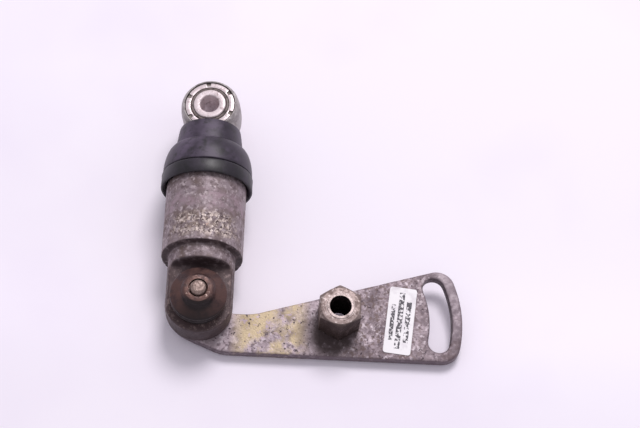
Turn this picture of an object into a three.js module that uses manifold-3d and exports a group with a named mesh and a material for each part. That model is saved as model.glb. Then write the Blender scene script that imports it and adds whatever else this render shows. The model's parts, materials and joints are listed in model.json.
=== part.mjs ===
// Hydraulic belt tensioner strut on a slotted adjusting lever.
//
// Working frame, in millimetres: the pivot pin stands on the Z axis, the damper lies along +Y,
// and the lever runs along +X. Z = 0 is the height of the damper's own axis. At the end the whole
// assembly is moved so that its origin is at the centre of the bottom of its box.

import * as THREE from 'three';
import { mergeVertices } from 'three/addons/utils/BufferGeometryUtils.js';
import Module from 'manifold-3d';

const wasm = await Module();
wasm.setup();

// ---------------------------------------------------------------- driving dimensions (mm, degrees)
// Round pieces are sized from the inside out: each wall or clearance is set here, and the radii that
// follow from them are worked out further down.

const FIT = 0.2;                  // clearance between pieces that seat in one another
const RUNNING_GAP = 0.3;          // clearance between faces that slide or turn past each other

// Lever
const LEVER_TOP_Z = -7.5;
const LEVER_THICKNESS = 6.2;
const LEVER_INSIDE_TONGUE = 1.6;  // the lever's round end is this much smaller than the tongue's
const LEVER_FLANK_ANGLE = 15;     // where the upper flank leaves the round end
const LEVER_FLANK_FILLET = 2.5;
const LEVER_THROAT_RADIUS = 30;   // hollow between the throat's floor and the upper edge
const LEVER_THROAT_Y = -0.8;
const LEVER_HEEL_ANGLE = -112.5;  // where the lower flank leaves the round end
const LEVER_HEEL_RADIUS = 20;
const LEVER_LOWER_Y = -23.5;      // the straight lower edge
const LEVER_UPPER_START = { x: 34.3, y: 0.8 };
const LEVER_UPPER_SLOPE = 17;     // slope of the upper edge
const LEVER_CORNER_RADIUS = 10;
const LEVER_EDGE_BREAK = 0.5;

// Adjusting slot, an arc about the nut
const SLOT_RADIUS = 56.35;
const SLOT_WIDTH = 11.9;
const SLOT_RIM = 6.1;             // left between the slot and the lever's end arc
const SLOT_FROM_ANGLE = -11;
const SLOT_TO_ANGLE = 21.5;

// Nut, its pilot set in the lever
const NUT_CENTRE = { x: 76, y: -1.3 };
const NUT_ACROSS_FLATS = 22;
const NUT_HEIGHT = 18.7;
const NUT_TURN = 32;              // turn of a corner from the lever's length
const NUT_BORE_RADIUS = 5.9;
const NUT_TOP_CHAMFER = 1.1;
const NUT_LAND_WALL = 1.6;
const NUT_LAND_HEIGHT = 0.4;
const NUT_PILOT_WALL = 2.3;

// Label
const LABEL_WIDTH = 15;
const LABEL_LENGTH = 39;
const LABEL_TO_SLOT = 9;
const LABEL_ANGLE = 1;            // direction of its centre from the nut
const LABEL_TURN = -6;
const LABEL_CORNER = 1.5;
const LABEL_THICKNESS = 0.25;
const LABEL_GAP = 0.05;

// Pivot
const PIN_RADIUS = 6;
const PIN_HEAD_STEP = 4;          // the head, sunk in the lever's back, is this much larger in radius
const PIN_HEAD_HEIGHT = 3;
const PIN_HEAD_CHAMFER = 0.6;
const PIN_NOSE_STEP = 1.8;
const PIN_NOSE_ABOVE_CAP = 1.5;
const PIN_NOSE_CHAMFER = 0.8;
const THRUST_WASHER = 0.8;
const BUSH_WALL = 1.6;

// Pivot cap and what it holds down
const SEAL_HEIGHT = 3.8;
const SEAL_WALL = 1.3;
const SEAL_INSIDE_RIM = 1.1;
const SEAL_WAIST = 0.35;
const CAP_INSIDE_TONGUE = 3.1;
const CAP_RIM_HEIGHT = 4;
const CAP_BRIM_HEIGHT = 3.5;
const CAP_CROWN_WALL = 2.9;       // round the pin
const CAP_CROWN_HEIGHT = 5;
const CAP_RECESS_GAP = 0.8;       // round the pin's nose
const CAP_RECESS_DEPTH = 1.5;
const CAP_ROUNDING = 0.8;
const CAP_WALL = 1.8;
const DISC_THICKNESS = 1.4;

// Damper housing
const TONGUE_THICKNESS = 13.8;
const TONGUE_WALL = 10.3;         // round the bush
const SHOULDER_Y = 20;
const SHOULDER_FILLET = 4;
const SHOULDER_EDGE = 1;
const NECK_LENGTH = 7;            // from the shoulder to the body's foot, along the axis
const FOOT_TILT = 5.5;            // the foot's plane leans this much towards the shoulder at the back
const HOUSING_FLOOR = 7;          // from the foot to the floor of the chamber
const HOUSING_BODY_LENGTH = 44.5;
const HOUSING_STEP = 2.4;         // from the body in to the spigot
const HOUSING_EDGE = 1;
const SPIGOT_WALL = 1.8;
const SPIGOT_LENGTH = 4.5;
const LINER_SEAT_DEPTH = 3;

// Damper internals
const ROD_RADIUS = 5;
const GUIDE_WALL = 3.1;           // rod guide and rod seal, round the rod
const LINER_WALL = 1.8;
const LINER_LENGTH = 37;
const LINER_LIP = 0.5;
const GUIDE_DEPTH = 8;            // from the liner's mouth down to the guide's lower face
const GUIDE_HEIGHT = 3;
const ROD_SEAL_HEIGHT = 2.2;
const ROD_SEAL_BASE = 0.9;
const ROD_SEAL_LIP = 0.8;
const SNAP_WIRE_RADIUS = 0.6;
const STROKE = 9;
const PISTON_FLOOR_GAP = 3;       // left under the valve cage when the damper is fully closed
const PISTON_LENGTH = 13;
const PISTON_CHAMFER = 0.5;
const CROSS_DRILLING_ABOVE_PISTON = 1.3;
const CROSS_DRILLING_RADIUS = 0.7;
const ROD_END_CHAMFER = 1;
const ROD_TOP_BELOW_BORE = 1.5;   // solid left between the rod's end and the eye's bore
const OIL_DRILLING_RADIUS = 1.4;
const BALL_RADIUS = 2.2;
const BALL_ROOM = 2;              // between the ball and the wall of its pocket
const VALVE_POCKET_DEPTH = 7;
const CAGE_HEIGHT = 2;
const SPRING_INSIDE_GAP = 2.4;    // between the liner and the spring
const SPRING_OUTSIDE_GAP = 2.3;   // between the spring and the chamber's wall
const SPRING_WIRE_RADIUS = 1.6;
const SPRING_TURNS = 8;

// Dust boot and skirt
const SKIRT_CLEARANCE = 0.6;      // round the housing
const SKIRT_WALL = 1.4;
const SKIRT_OVERLAP = 3.1;        // of the skirt's rim over the housing's body
const SKIRT_HEIGHT = 8.8;
const SKIRT_LIP = 1.2;
const SKIRT_EDGE = 0.7;
const BOOT_CUFF_WALL = 1;
const BOOT_CUFF_LENGTH = 4;
const BOOT_FOLD_INSET = 0.5;      // the dome starts this far inside the skirt
const BOOT_DOME_HEIGHT = 16.1;
const BOOT_DOME_WALL = 2;
const BOOT_NECK_LENGTH = 12.9;
const BOOT_NECK_WALL = 3.2;
const BOOT_NECK_FLARE = 1.7;      // the neck's foot is this much wider than its lip
const BOOT_LIP_ROUNDING = 0.6;
const BOOT_LIP_DEPTH = 4;         // the upper part of the neck, opened out to clear the eye
const BOOT_LIP_RELIEF = 1;

// Upper eye
const STEM_FLANGE_HEIGHT = 2.6;
const STEM_FLANGE_EDGE = 0.8;
const STEM_FLANGE_LAND = 0.3;     // beyond the spring's outside
const STEM_FLANGE_STEP = 2.3;
const STEM_FLANGE_BELOW_CREASE = 2.7;
const EYE_ABOVE_BOOT = 11.8;
const EYE_WALL = 2.9;
const EYE_DRAFT = 2;              // the barrel narrows this much towards its faces
const EYE_HALF_WIDTH = 12.7;
const EYE_TWIST = -5;             // the eye stands turned this much about the damper's axis
const EYE_CHEEK_INSET = 1.5;      // inside the boot's lip
const EYE_CHEEK_TAPER = { radius: 3, height: 4 };
const EYE_POCKET_DEPTH = 1.7;     // closed by the seals and the star rings
const EYE_BUSH_WALL = 4.5;
const SLEEVE_STAND_OUT = 0.3;
const SLEEVE_BORE_RADIUS = 5.4;
const SLEEVE_WALL = 3.7;
const EYE_SEAL_WALL = 1.3;
const STAR_SEAL_GAP = 0.4;
const STAR_THICKNESS = 0.7;
const STAR_TEETH = 6;
const STAR_NOTCH_WIDTH = 2;
const STAR_NOTCH_DEPTH = 1.9;
const STAR_TURN = 36;

// Facets
const LARGE_ROUND = 40;
const MEDIUM_ROUND = 28;
const SMALL_ROUND = 16;
const DRILLING_ROUND = 10;
const WIRE_SIDES = 6;
const STEPS_PER_COIL = 12;
const DOME_STEPS = 6;

// ---------------------------------------------------------------- sizes and places worked out

// Pivot, from the pin outwards and from the lever upwards
const BUSH_INNER_RADIUS = PIN_RADIUS + RUNNING_GAP;
const BUSH_OUTER_RADIUS = BUSH_INNER_RADIUS + BUSH_WALL;
const TONGUE_RADIUS = BUSH_OUTER_RADIUS + FIT + TONGUE_WALL;
const LEVER_PIVOT_RADIUS = TONGUE_RADIUS - LEVER_INSIDE_TONGUE;
const CAP_RIM_RADIUS = TONGUE_RADIUS - CAP_INSIDE_TONGUE;
const CAP_CROWN_RADIUS = PIN_RADIUS + CAP_CROWN_WALL;
const SEAL_RADIUS = CAP_RIM_RADIUS - SEAL_INSIDE_RIM;
const PIN_HEAD_RADIUS = PIN_RADIUS + PIN_HEAD_STEP;
const PIN_NOSE_RADIUS = PIN_RADIUS - PIN_NOSE_STEP;
const LEVER_BOTTOM_Z = LEVER_TOP_Z - LEVER_THICKNESS;
const TONGUE_BOTTOM_Z = LEVER_TOP_Z + THRUST_WASHER + RUNNING_GAP;
const TONGUE_TOP_Z = TONGUE_BOTTOM_Z + TONGUE_THICKNESS;
const CAP_BOTTOM_Z = TONGUE_TOP_Z + FIT + SEAL_HEIGHT + FIT;
const CAP_BRIM_Z = CAP_BOTTOM_Z + CAP_RIM_HEIGHT;
const CAP_CROWN_Z = CAP_BRIM_Z + CAP_BRIM_HEIGHT;
const CAP_TOP_Z = CAP_CROWN_Z + CAP_CROWN_HEIGHT;
const DISC_STACK = CAP_BRIM_Z - CAP_WALL - TONGUE_TOP_Z - 3 * FIT;
const DISC_CONE = DISC_STACK / 2 - DISC_THICKNESS;

// Nut, slot and label
const NUT_LAND_RADIUS = NUT_BORE_RADIUS + NUT_LAND_WALL;
const NUT_PILOT_RADIUS = NUT_BORE_RADIUS + NUT_PILOT_WALL;
const LEVER_END_RADIUS = SLOT_RADIUS + SLOT_WIDTH / 2 + SLOT_RIM;
const LABEL_RADIUS = SLOT_RADIUS - SLOT_WIDTH / 2 - LABEL_TO_SLOT - LABEL_WIDTH / 2;

// Damper, from the rod outwards
const INSERT_RADIUS = ROD_RADIUS + FIT + GUIDE_WALL;
const LINER_BORE_RADIUS = INSERT_RADIUS + FIT;
const LINER_RADIUS = LINER_BORE_RADIUS + LINER_WALL;
const SPRING_COIL_RADIUS = LINER_RADIUS + SPRING_INSIDE_GAP + SPRING_WIRE_RADIUS;
const SPRING_OUTER_RADIUS = SPRING_COIL_RADIUS + SPRING_WIRE_RADIUS;
const CHAMBER_RADIUS = SPRING_OUTER_RADIUS + SPRING_OUTSIDE_GAP;
const SPIGOT_RADIUS = CHAMBER_RADIUS + SPIGOT_WALL;
const HOUSING_RADIUS = SPIGOT_RADIUS + HOUSING_STEP;
const CUFF_BORE_RADIUS = HOUSING_RADIUS + SKIRT_CLEARANCE;
const CUFF_RADIUS = CUFF_BORE_RADIUS + BOOT_CUFF_WALL;
const SKIRT_RADIUS = CUFF_RADIUS + FIT + SKIRT_WALL;
const BOOT_FOLD_RADIUS = SKIRT_RADIUS - BOOT_FOLD_INSET;
const STEM_FLANGE_RADIUS = SPRING_OUTER_RADIUS + STEM_FLANGE_LAND;
const STEM_RADIUS = STEM_FLANGE_RADIUS - STEM_FLANGE_STEP;
const BOOT_SEAT_RADIUS = STEM_RADIUS + FIT;
const BOOT_TOP_RADIUS = BOOT_SEAT_RADIUS + BOOT_NECK_WALL;
const BOOT_CREASE_RADIUS = BOOT_TOP_RADIUS + BOOT_NECK_FLARE;
const EYE_CHEEK_RADIUS = BOOT_TOP_RADIUS - EYE_CHEEK_INSET;

// Damper, from the pivot along to the eye
const FOOT_Y = SHOULDER_Y + NECK_LENGTH;
const CHAMBER_FLOOR_Y = FOOT_Y + HOUSING_FLOOR;
const BODY_TOP_Y = FOOT_Y + HOUSING_BODY_LENGTH;
const HOUSING_TOP_Y = BODY_TOP_Y + SPIGOT_LENGTH;
const LINER_BASE_Y = CHAMBER_FLOOR_Y - LINER_SEAT_DEPTH + FIT;
const LINER_TOP_Y = LINER_BASE_Y + LINER_LENGTH;
const GUIDE_Y = LINER_TOP_Y - GUIDE_DEPTH;
const PISTON_Y = LINER_BASE_Y + PISTON_FLOOR_GAP + STROKE;
const PISTON_TOP_Y = PISTON_Y + PISTON_LENGTH;
const SKIRT_RIM_Y = BODY_TOP_Y - SKIRT_OVERLAP;
const BOOT_FOLD_Y = SKIRT_RIM_Y + SKIRT_HEIGHT;
const CUFF_END_Y = BOOT_FOLD_Y - BOOT_CUFF_LENGTH;
const BOOT_CREASE_Y = BOOT_FOLD_Y + BOOT_DOME_HEIGHT;
const BOOT_TOP_Y = BOOT_CREASE_Y + BOOT_NECK_LENGTH;
const STEM_FLANGE_TOP_Y = BOOT_CREASE_Y - STEM_FLANGE_BELOW_CREASE;
const STEM_FLANGE_Y = STEM_FLANGE_TOP_Y - STEM_FLANGE_HEIGHT;
const EYE_Y = BOOT_TOP_Y + EYE_ABOVE_BOOT;

// Upper eye, from the sleeve outwards
const SLEEVE_RADIUS = SLEEVE_BORE_RADIUS + SLEEVE_WALL;
const EYE_BUSH_BORE_RADIUS = SLEEVE_RADIUS + RUNNING_GAP;
const EYE_BORE_RADIUS = EYE_BUSH_BORE_RADIUS + EYE_BUSH_WALL + FIT;
const EYE_RADIUS = EYE_BORE_RADIUS + EYE_WALL;
const EYE_FACE_RADIUS = EYE_RADIUS - EYE_DRAFT;
const EYE_POCKET_Z = EYE_HALF_WIDTH - EYE_POCKET_DEPTH;
const EYE_SEAL_RADIUS = EYE_BUSH_BORE_RADIUS + EYE_SEAL_WALL;
const STAR_INNER_RADIUS = EYE_SEAL_RADIUS + STAR_SEAL_GAP;
const STAR_OUTER_RADIUS = EYE_BORE_RADIUS - RUNNING_GAP;
const SLEEVE_HALF_LENGTH = EYE_HALF_WIDTH + SLEEVE_STAND_OUT;
const ROD_TOP_Y = EYE_Y - EYE_BORE_RADIUS - ROD_TOP_BELOW_BORE;

// Check valve in the piston
const VALVE_POCKET_RADIUS = BALL_RADIUS + BALL_ROOM;
const VALVE_SEAT_Y = PISTON_Y + VALVE_POCKET_DEPTH;
const VALVE_SEAT_DROP = VALVE_POCKET_RADIUS - OIL_DRILLING_RADIUS;   // a 45 degree cone
const BALL_Y = VALVE_SEAT_Y + OIL_DRILLING_RADIUS - Math.SQRT2 * (BALL_RADIUS + FIT);

// ---------------------------------------------------------------- shaping helpers

const PIVOT = { x: 0, y: 0 };
const CUT_OVERRUN = 1;            // a cutting tool runs this far past the face it opens
const radians = THREE.MathUtils.degToRad;

function onCircle(centre, radius, angle) {
  return new THREE.Vector2(centre.x + radius * Math.cos(angle), centre.y + radius * Math.sin(angle));
}

// Shared vertices joined and the slivers that an axis point leaves taken out.
function welded(geometry) {
  const bare = geometry.clone();
  bare.deleteAttribute('normal');
  bare.deleteAttribute('uv');
  const merged = mergeVertices(bare, 1e-4);
  const index = merged.getIndex().array;
  const kept = [];
  for (let i = 0; i < index.length; i += 3) {
    const [a, b, c] = [index[i], index[i + 1], index[i + 2]];
    if (a !== b && b !== c && c !== a) kept.push(a, b, c);
  }
  merged.setIndex(kept);
  return merged;
}

function toSolid(geometry) {
  const closed = welded(geometry);
  return new wasm.Manifold(new wasm.Mesh({
    numProp: 3,
    vertProperties: new Float32Array(closed.getAttribute('position').array),
    triVerts: new Uint32Array(closed.getIndex().array),
  }));
}

function toGeometry(solid) {
  const mesh = solid.getMesh();
  const geometry = new THREE.BufferGeometry();
  geometry.setAttribute('position', new THREE.BufferAttribute(mesh.vertProperties, 3));
  geometry.setIndex(new THREE.BufferAttribute(mesh.triVerts, 1));
  return geometry;
}

// A solid turned about the Y axis. The profile is [radius, y] pairs; it runs from axis to axis, or is
// closed when it never meets the axis.
function turnedAboutY(profile, segments) {
  const points = profile.map(([r, y]) => new THREE.Vector2(r, y));
  const meetsAxis = profile[0][0] === 0;
  if (THREE.ShapeUtils.area(points) < 0) points.reverse();
  if (!meetsAxis) points.push(points[0].clone());
  return welded(new THREE.LatheGeometry(points, segments));
}

function turnedAboutZ(profile, segments) {
  return turnedAboutY(profile, segments).rotateX(Math.PI / 2);
}

// Two radii and two ends: a plain ring, tube or washer profile.
function ring(inner, outer, from, to) {
  return [[inner, from], [outer, from], [outer, to], [inner, to]];
}

// The profile of a plain round bar, from the axis to the axis.
function bar(radius, from, to) {
  return ring(0, radius, from, to);
}

function plate(shape, bottom, thickness, edgeBreak = 0, curveSegments = 7) {
  const geometry = new THREE.ExtrudeGeometry(shape, {
    depth: thickness - 2 * edgeBreak,
    steps: 1,
    curveSegments,
    bevelEnabled: edgeBreak > 0,
    bevelThickness: edgeBreak,
    bevelSize: edgeBreak,
    bevelOffset: -edgeBreak,
    bevelSegments: 1,
  });
  return geometry.translate(0, 0, bottom + edgeBreak);
}

function circlePoints(centre, radius, count) {
  const points = [];
  for (let k = 0; k < count; k += 1) {
    points.push(onCircle(centre, radius, (k * 2 * Math.PI) / count));
  }
  return points;
}

function circleHole(centre, radius) {
  return new THREE.Path(circlePoints(centre, radius, MEDIUM_ROUND));
}

// A coil spring along Y: a dead turn at each end, and an even pitch between them.
class CoilPath extends THREE.Curve {
  constructor(radius, turns, wireRadius, from, to) {
    super();
    Object.assign(this, { radius, turns, wireRadius, from, to });
  }

  getPoint(t, target = new THREE.Vector3()) {
    const deadPitch = 2 * this.wireRadius + FIT;
    const length = this.to - this.from - 2 * this.wireRadius;
    const livePitch = (length - 2 * deadPitch) / (this.turns - 2);
    const turn = t * this.turns;
    const live = Math.min(Math.max(turn - 1, 0), this.turns - 2);
    const dead = Math.min(turn, 1) + Math.max(turn - this.turns + 1, 0);
    const angle = turn * 2 * Math.PI;
    const y = this.from + this.wireRadius + dead * deadPitch + live * livePitch;
    return target.set(this.radius * Math.cos(angle), y, this.radius * Math.sin(angle));
  }
}

function coil(radius, turns, wireRadius, from, to) {
  const section = new THREE.Shape(circlePoints(PIVOT, wireRadius, WIRE_SIDES));
  const geometry = new THREE.ExtrudeGeometry(section, {
    steps: turns * STEPS_PER_COIL,
    bevelEnabled: false,
    extrudePath: new CoilPath(radius, turns, wireRadius, from, to),
  });
  return welded(geometry);
}

// ---------------------------------------------------------------- finishes

const FINISHES = {
  forgedSteel: { color: 0x77716c, roughness: 0.55, metalness: 0.8 },
  nutSteel: { color: 0x7b716a, roughness: 0.5, metalness: 0.85 },
  brightSteel: { color: 0xc9c4c2, roughness: 0.3, metalness: 1 },
  springSteel: { color: 0x4f5257, roughness: 0.4, metalness: 0.9 },
  rustySteel: { color: 0x4a352c, roughness: 0.6, metalness: 0.5 },
  castAluminium: { color: 0x8d8683, roughness: 0.6, metalness: 0.7 },
  bronze: { color: 0x8c6b3f, roughness: 0.45, metalness: 0.9 },
  rubber: { color: 0x1d1c20, roughness: 0.55, metalness: 0 },
  sealRubber: { color: 0x2a2622, roughness: 0.7, metalness: 0 },
  polymer: { color: 0x8b827a, roughness: 0.5, metalness: 0 },
  paperLabel: { color: 0xf1eeee, roughness: 0.6, metalness: 0 },
};

function piece(name, geometry, finish) {
  const mesh = new THREE.Mesh(geometry, new THREE.MeshStandardMaterial(FINISHES[finish]));
  mesh.name = name;
  return mesh;
}

// ---------------------------------------------------------------- lever

// Centre of a corner that touches a long edge and, from inside, the lever's end arc. The edge runs
// through `point` towards the end; `side` is 1 where the lever lies to its left, -1 to its right.
function endCornerCentre(point, direction, side) {
  const left = new THREE.Vector2(-direction.y, direction.x);
  const start = point.clone().addScaledVector(left, side * LEVER_CORNER_RADIUS);
  const fromNut = start.clone().sub(new THREE.Vector2(NUT_CENTRE.x, NUT_CENTRE.y));
  const along = fromNut.dot(direction);
  const inner = LEVER_END_RADIUS - LEVER_CORNER_RADIUS;
  const reach = Math.sqrt(along ** 2 - fromNut.lengthSq() + inner ** 2);
  return start.addScaledVector(direction, reach - along);
}

function heading(angle) {
  return new THREE.Vector2(Math.cos(angle), Math.sin(angle));
}

// Where the line through p with heading a meets the line through q with heading b.
function lineMeeting(p, a, q, b) {
  const d = heading(a);
  const e = heading(b);
  const t = ((q.x - p.x) * e.y - (q.y - p.y) * e.x) / (d.x * e.y - d.y * e.x);
  return new THREE.Vector2(p.x, p.y).addScaledVector(d, t);
}

// A fillet arc on an outline that comes to `corner` with heading `from` and leaves with heading `to`.
function fillet(outline, corner, from, to, radius) {
  const turn = to - from;
  const side = Math.sign(turn);
  const reach = radius * Math.tan(Math.abs(turn) / 2);
  const start = corner.clone().addScaledVector(heading(from), -reach);
  const centre = start.addScaledVector(heading(from + (side * Math.PI) / 2), radius);
  const back = (side * Math.PI) / 2;
  outline.absarc(centre.x, centre.y, radius, from - back, to - back, side < 0);
}

// Anticlockwise from the heel: lower edge, end arc, upper edge, throat floor, flank, round end.
function leverOutline() {
  const square = Math.PI / 2;
  const flank = radians(LEVER_FLANK_ANGLE);
  const heel = radians(LEVER_HEEL_ANGLE);
  const slope = radians(LEVER_UPPER_SLOPE);
  const lowerStart = new THREE.Vector2(0, LEVER_LOWER_Y);
  const upperStart = new THREE.Vector2(LEVER_UPPER_START.x, LEVER_UPPER_START.y);
  const heelPoint = onCircle(PIVOT, LEVER_PIVOT_RADIUS, heel);
  const flankPoint = onCircle(PIVOT, LEVER_PIVOT_RADIUS, flank);
  const floorPoint = { x: 0, y: LEVER_THROAT_Y };

  const lowerCentre = endCornerCentre(lowerStart, heading(0), 1);
  const upperCentre = endCornerCentre(upperStart, heading(slope), -1);
  const lowerAngle = Math.atan2(lowerCentre.y - NUT_CENTRE.y, lowerCentre.x - NUT_CENTRE.x);
  const upperAngle = Math.atan2(upperCentre.y - NUT_CENTRE.y, upperCentre.x - NUT_CENTRE.x);
  const heelCorner = lineMeeting(heelPoint, heel + square, lowerStart, 0);
  const throatCorner = lineMeeting(upperStart, slope, floorPoint, 0);
  const flankCorner = lineMeeting(flankPoint, flank + square, floorPoint, 0);

  const outline = new THREE.Shape();
  fillet(outline, heelCorner, heel + square, 0, LEVER_HEEL_RADIUS);
  outline.absarc(lowerCentre.x, lowerCentre.y, LEVER_CORNER_RADIUS, -square, lowerAngle, false);
  outline.absarc(NUT_CENTRE.x, NUT_CENTRE.y, LEVER_END_RADIUS, lowerAngle, upperAngle, false);
  outline.absarc(upperCentre.x, upperCentre.y, LEVER_CORNER_RADIUS, upperAngle, slope + square, false);
  fillet(outline, throatCorner, slope + Math.PI, Math.PI, LEVER_THROAT_RADIUS);
  fillet(outline, flankCorner, Math.PI, flank + square, LEVER_FLANK_FILLET);
  outline.absarc(0, 0, LEVER_PIVOT_RADIUS, flank, heel + 2 * Math.PI, false);
  outline.closePath();
  return outline;
}

function slotPath() {
  const half = SLOT_WIDTH / 2;
  const from = radians(SLOT_FROM_ANGLE);
  const to = radians(SLOT_TO_ANGLE);
  const start = onCircle(NUT_CENTRE, SLOT_RADIUS, from);
  const end = onCircle(NUT_CENTRE, SLOT_RADIUS, to);
  const slot = new THREE.Path();
  slot.absarc(NUT_CENTRE.x, NUT_CENTRE.y, SLOT_RADIUS + half, from, to, false);
  slot.absarc(end.x, end.y, half, to, to + Math.PI, false);
  slot.absarc(NUT_CENTRE.x, NUT_CENTRE.y, SLOT_RADIUS - half, to, from, true);
  slot.absarc(start.x, start.y, half, from + Math.PI, from + 2 * Math.PI, false);
  slot.closePath();
  return slot;
}

function leverPlate() {
  const shape = leverOutline();
  shape.holes.push(circleHole(PIVOT, PIN_RADIUS + FIT));
  shape.holes.push(circleHole(NUT_CENTRE, NUT_PILOT_RADIUS + FIT));
  shape.holes.push(slotPath());
  const counterbore = bar(PIN_HEAD_RADIUS + FIT, LEVER_BOTTOM_Z - CUT_OVERRUN,
    LEVER_BOTTOM_Z + PIN_HEAD_HEIGHT + FIT);
  return toGeometry(toSolid(plate(shape, LEVER_BOTTOM_Z, LEVER_THICKNESS, LEVER_EDGE_BREAK))
    .subtract(toSolid(turnedAboutZ(counterbore, MEDIUM_ROUND))));
}

function hexagon(acrossFlats) {
  const corner = acrossFlats / 2 / Math.cos(Math.PI / 6);
  return new THREE.Shape(circlePoints(PIVOT, corner, 6));
}

function leverNut() {
  const top = LEVER_TOP_Z + NUT_HEIGHT;
  const flat = NUT_ACROSS_FLATS / 2;
  const hex = toSolid(plate(hexagon(NUT_ACROSS_FLATS), LEVER_TOP_Z, NUT_HEIGHT));
  const chamferCone = [
    [0, LEVER_TOP_Z - CUT_OVERRUN],
    [flat + 3 * NUT_TOP_CHAMFER, LEVER_TOP_Z - CUT_OVERRUN],
    [flat + 3 * NUT_TOP_CHAMFER, top - 2 * NUT_TOP_CHAMFER],
    [flat - NUT_TOP_CHAMFER / 2, top],
    [0, top],
  ];
  const land = [
    [0, top - NUT_LAND_HEIGHT],
    [NUT_LAND_RADIUS, top - NUT_LAND_HEIGHT],
    [NUT_LAND_RADIUS, top + NUT_LAND_HEIGHT / 2],
    [NUT_LAND_RADIUS - NUT_LAND_HEIGHT / 2, top + NUT_LAND_HEIGHT],
    [0, top + NUT_LAND_HEIGHT],
  ];
  const pilot = bar(NUT_PILOT_RADIUS, LEVER_BOTTOM_Z, LEVER_TOP_Z + CUT_OVERRUN);
  const bore = bar(NUT_BORE_RADIUS, LEVER_BOTTOM_Z - CUT_OVERRUN, top + CUT_OVERRUN);
  const solid = hex
    .intersect(toSolid(turnedAboutZ(chamferCone, LARGE_ROUND)))
    .add(toSolid(turnedAboutZ(land, MEDIUM_ROUND)))
    .add(toSolid(turnedAboutZ(pilot, MEDIUM_ROUND)))
    .subtract(toSolid(turnedAboutZ(bore, MEDIUM_ROUND)));
  return toGeometry(solid);
}

function labelSticker() {
  const x = LABEL_WIDTH / 2;
  const y = LABEL_LENGTH / 2;
  const r = LABEL_CORNER;
  const shape = new THREE.Shape();
  shape.absarc(x - r, y - r, r, 0, Math.PI / 2, false);
  shape.absarc(r - x, y - r, r, Math.PI / 2, Math.PI, false);
  shape.absarc(r - x, r - y, r, Math.PI, 1.5 * Math.PI, false);
  shape.absarc(x - r, r - y, r, 1.5 * Math.PI, 2 * Math.PI, false);
  shape.closePath();
  return welded(plate(shape, 0, LABEL_THICKNESS, 0, 3));
}

function leverGroup() {
  const group = new THREE.Group();
  const nut = piece('lever_nut', leverNut(), 'nutSteel');
  nut.position.set(NUT_CENTRE.x, NUT_CENTRE.y, 0);
  nut.rotation.z = radians(NUT_TURN);
  const label = piece('label_sticker', labelSticker(), 'paperLabel');
  const labelCentre = onCircle(NUT_CENTRE, LABEL_RADIUS, radians(LABEL_ANGLE));
  label.position.set(labelCentre.x, labelCentre.y, LEVER_TOP_Z + LABEL_GAP);
  label.rotation.z = radians(LABEL_TURN);
  group.add(piece('lever_plate', leverPlate(), 'forgedSteel'), nut, label);
  return group;
}

// ---------------------------------------------------------------- pivot

function pivotPin() {
  const head = LEVER_BOTTOM_Z + PIN_HEAD_HEIGHT;
  const shankTop = CAP_TOP_Z - CAP_RECESS_DEPTH - CAP_WALL - FIT;
  const noseTop = CAP_TOP_Z + PIN_NOSE_ABOVE_CAP;
  return turnedAboutZ([
    [0, LEVER_BOTTOM_Z],
    [PIN_HEAD_RADIUS - PIN_HEAD_CHAMFER, LEVER_BOTTOM_Z],
    [PIN_HEAD_RADIUS, LEVER_BOTTOM_Z + PIN_HEAD_CHAMFER],
    [PIN_HEAD_RADIUS, head],
    [PIN_RADIUS, head],
    [PIN_RADIUS, shankTop],
    [PIN_NOSE_RADIUS, shankTop],
    [PIN_NOSE_RADIUS, noseTop - PIN_NOSE_CHAMFER],
    [PIN_NOSE_RADIUS - PIN_NOSE_CHAMFER, noseTop],
    [0, noseTop],
  ], MEDIUM_ROUND);
}

// A coned disc: `innerZ` and `outerZ` are the heights of its lower edges.
function coneDisc(innerZ, outerZ) {
  const inner = PIN_RADIUS + RUNNING_GAP;
  const outer = SEAL_RADIUS - SEAL_WALL - 2 * FIT;
  return turnedAboutZ([
    [inner, innerZ],
    [outer, outerZ],
    [outer, outerZ + DISC_THICKNESS],
    [inner, innerZ + DISC_THICKNESS],
  ], MEDIUM_ROUND);
}

function pivotSealRing() {
  const low = TONGUE_TOP_Z + FIT;
  const high = low + SEAL_HEIGHT;
  return turnedAboutZ([
    [SEAL_RADIUS - SEAL_WALL, low],
    [SEAL_RADIUS, low],
    [SEAL_RADIUS - SEAL_WAIST, (low + high) / 2],
    [SEAL_RADIUS, high],
    [SEAL_RADIUS - SEAL_WALL, high],
  ], MEDIUM_ROUND);
}

function pivotCap() {
  const boss = CAP_CROWN_RADIUS;
  const floor = CAP_TOP_Z - CAP_RECESS_DEPTH;
  const recess = PIN_NOSE_RADIUS + CAP_RECESS_GAP;
  const noseHole = PIN_NOSE_RADIUS + FIT;
  const shankHole = PIN_RADIUS + FIT;
  return turnedAboutZ([
    [CAP_RIM_RADIUS - CAP_WALL, CAP_BOTTOM_Z],
    [CAP_RIM_RADIUS, CAP_BOTTOM_Z],
    [CAP_RIM_RADIUS, CAP_BRIM_Z],
    [CAP_RIM_RADIUS - CAP_ROUNDING, CAP_BRIM_Z + CAP_ROUNDING],
    [boss + 3 * CAP_ROUNDING, CAP_CROWN_Z - 1.5 * CAP_ROUNDING],
    [boss + CAP_ROUNDING, CAP_CROWN_Z],
    [boss, CAP_TOP_Z - 2 * CAP_ROUNDING],
    [boss - 1.6 * CAP_ROUNDING, CAP_TOP_Z - 0.4 * CAP_ROUNDING],
    [recess, CAP_TOP_Z],
    [recess, floor],
    [noseHole, floor],
    [noseHole, floor - CAP_WALL],
    [shankHole, floor - CAP_WALL],
    [shankHole, CAP_BRIM_Z],
    [CAP_RIM_RADIUS - CAP_WALL, CAP_BRIM_Z - CAP_WALL],
  ], LARGE_ROUND);
}

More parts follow.
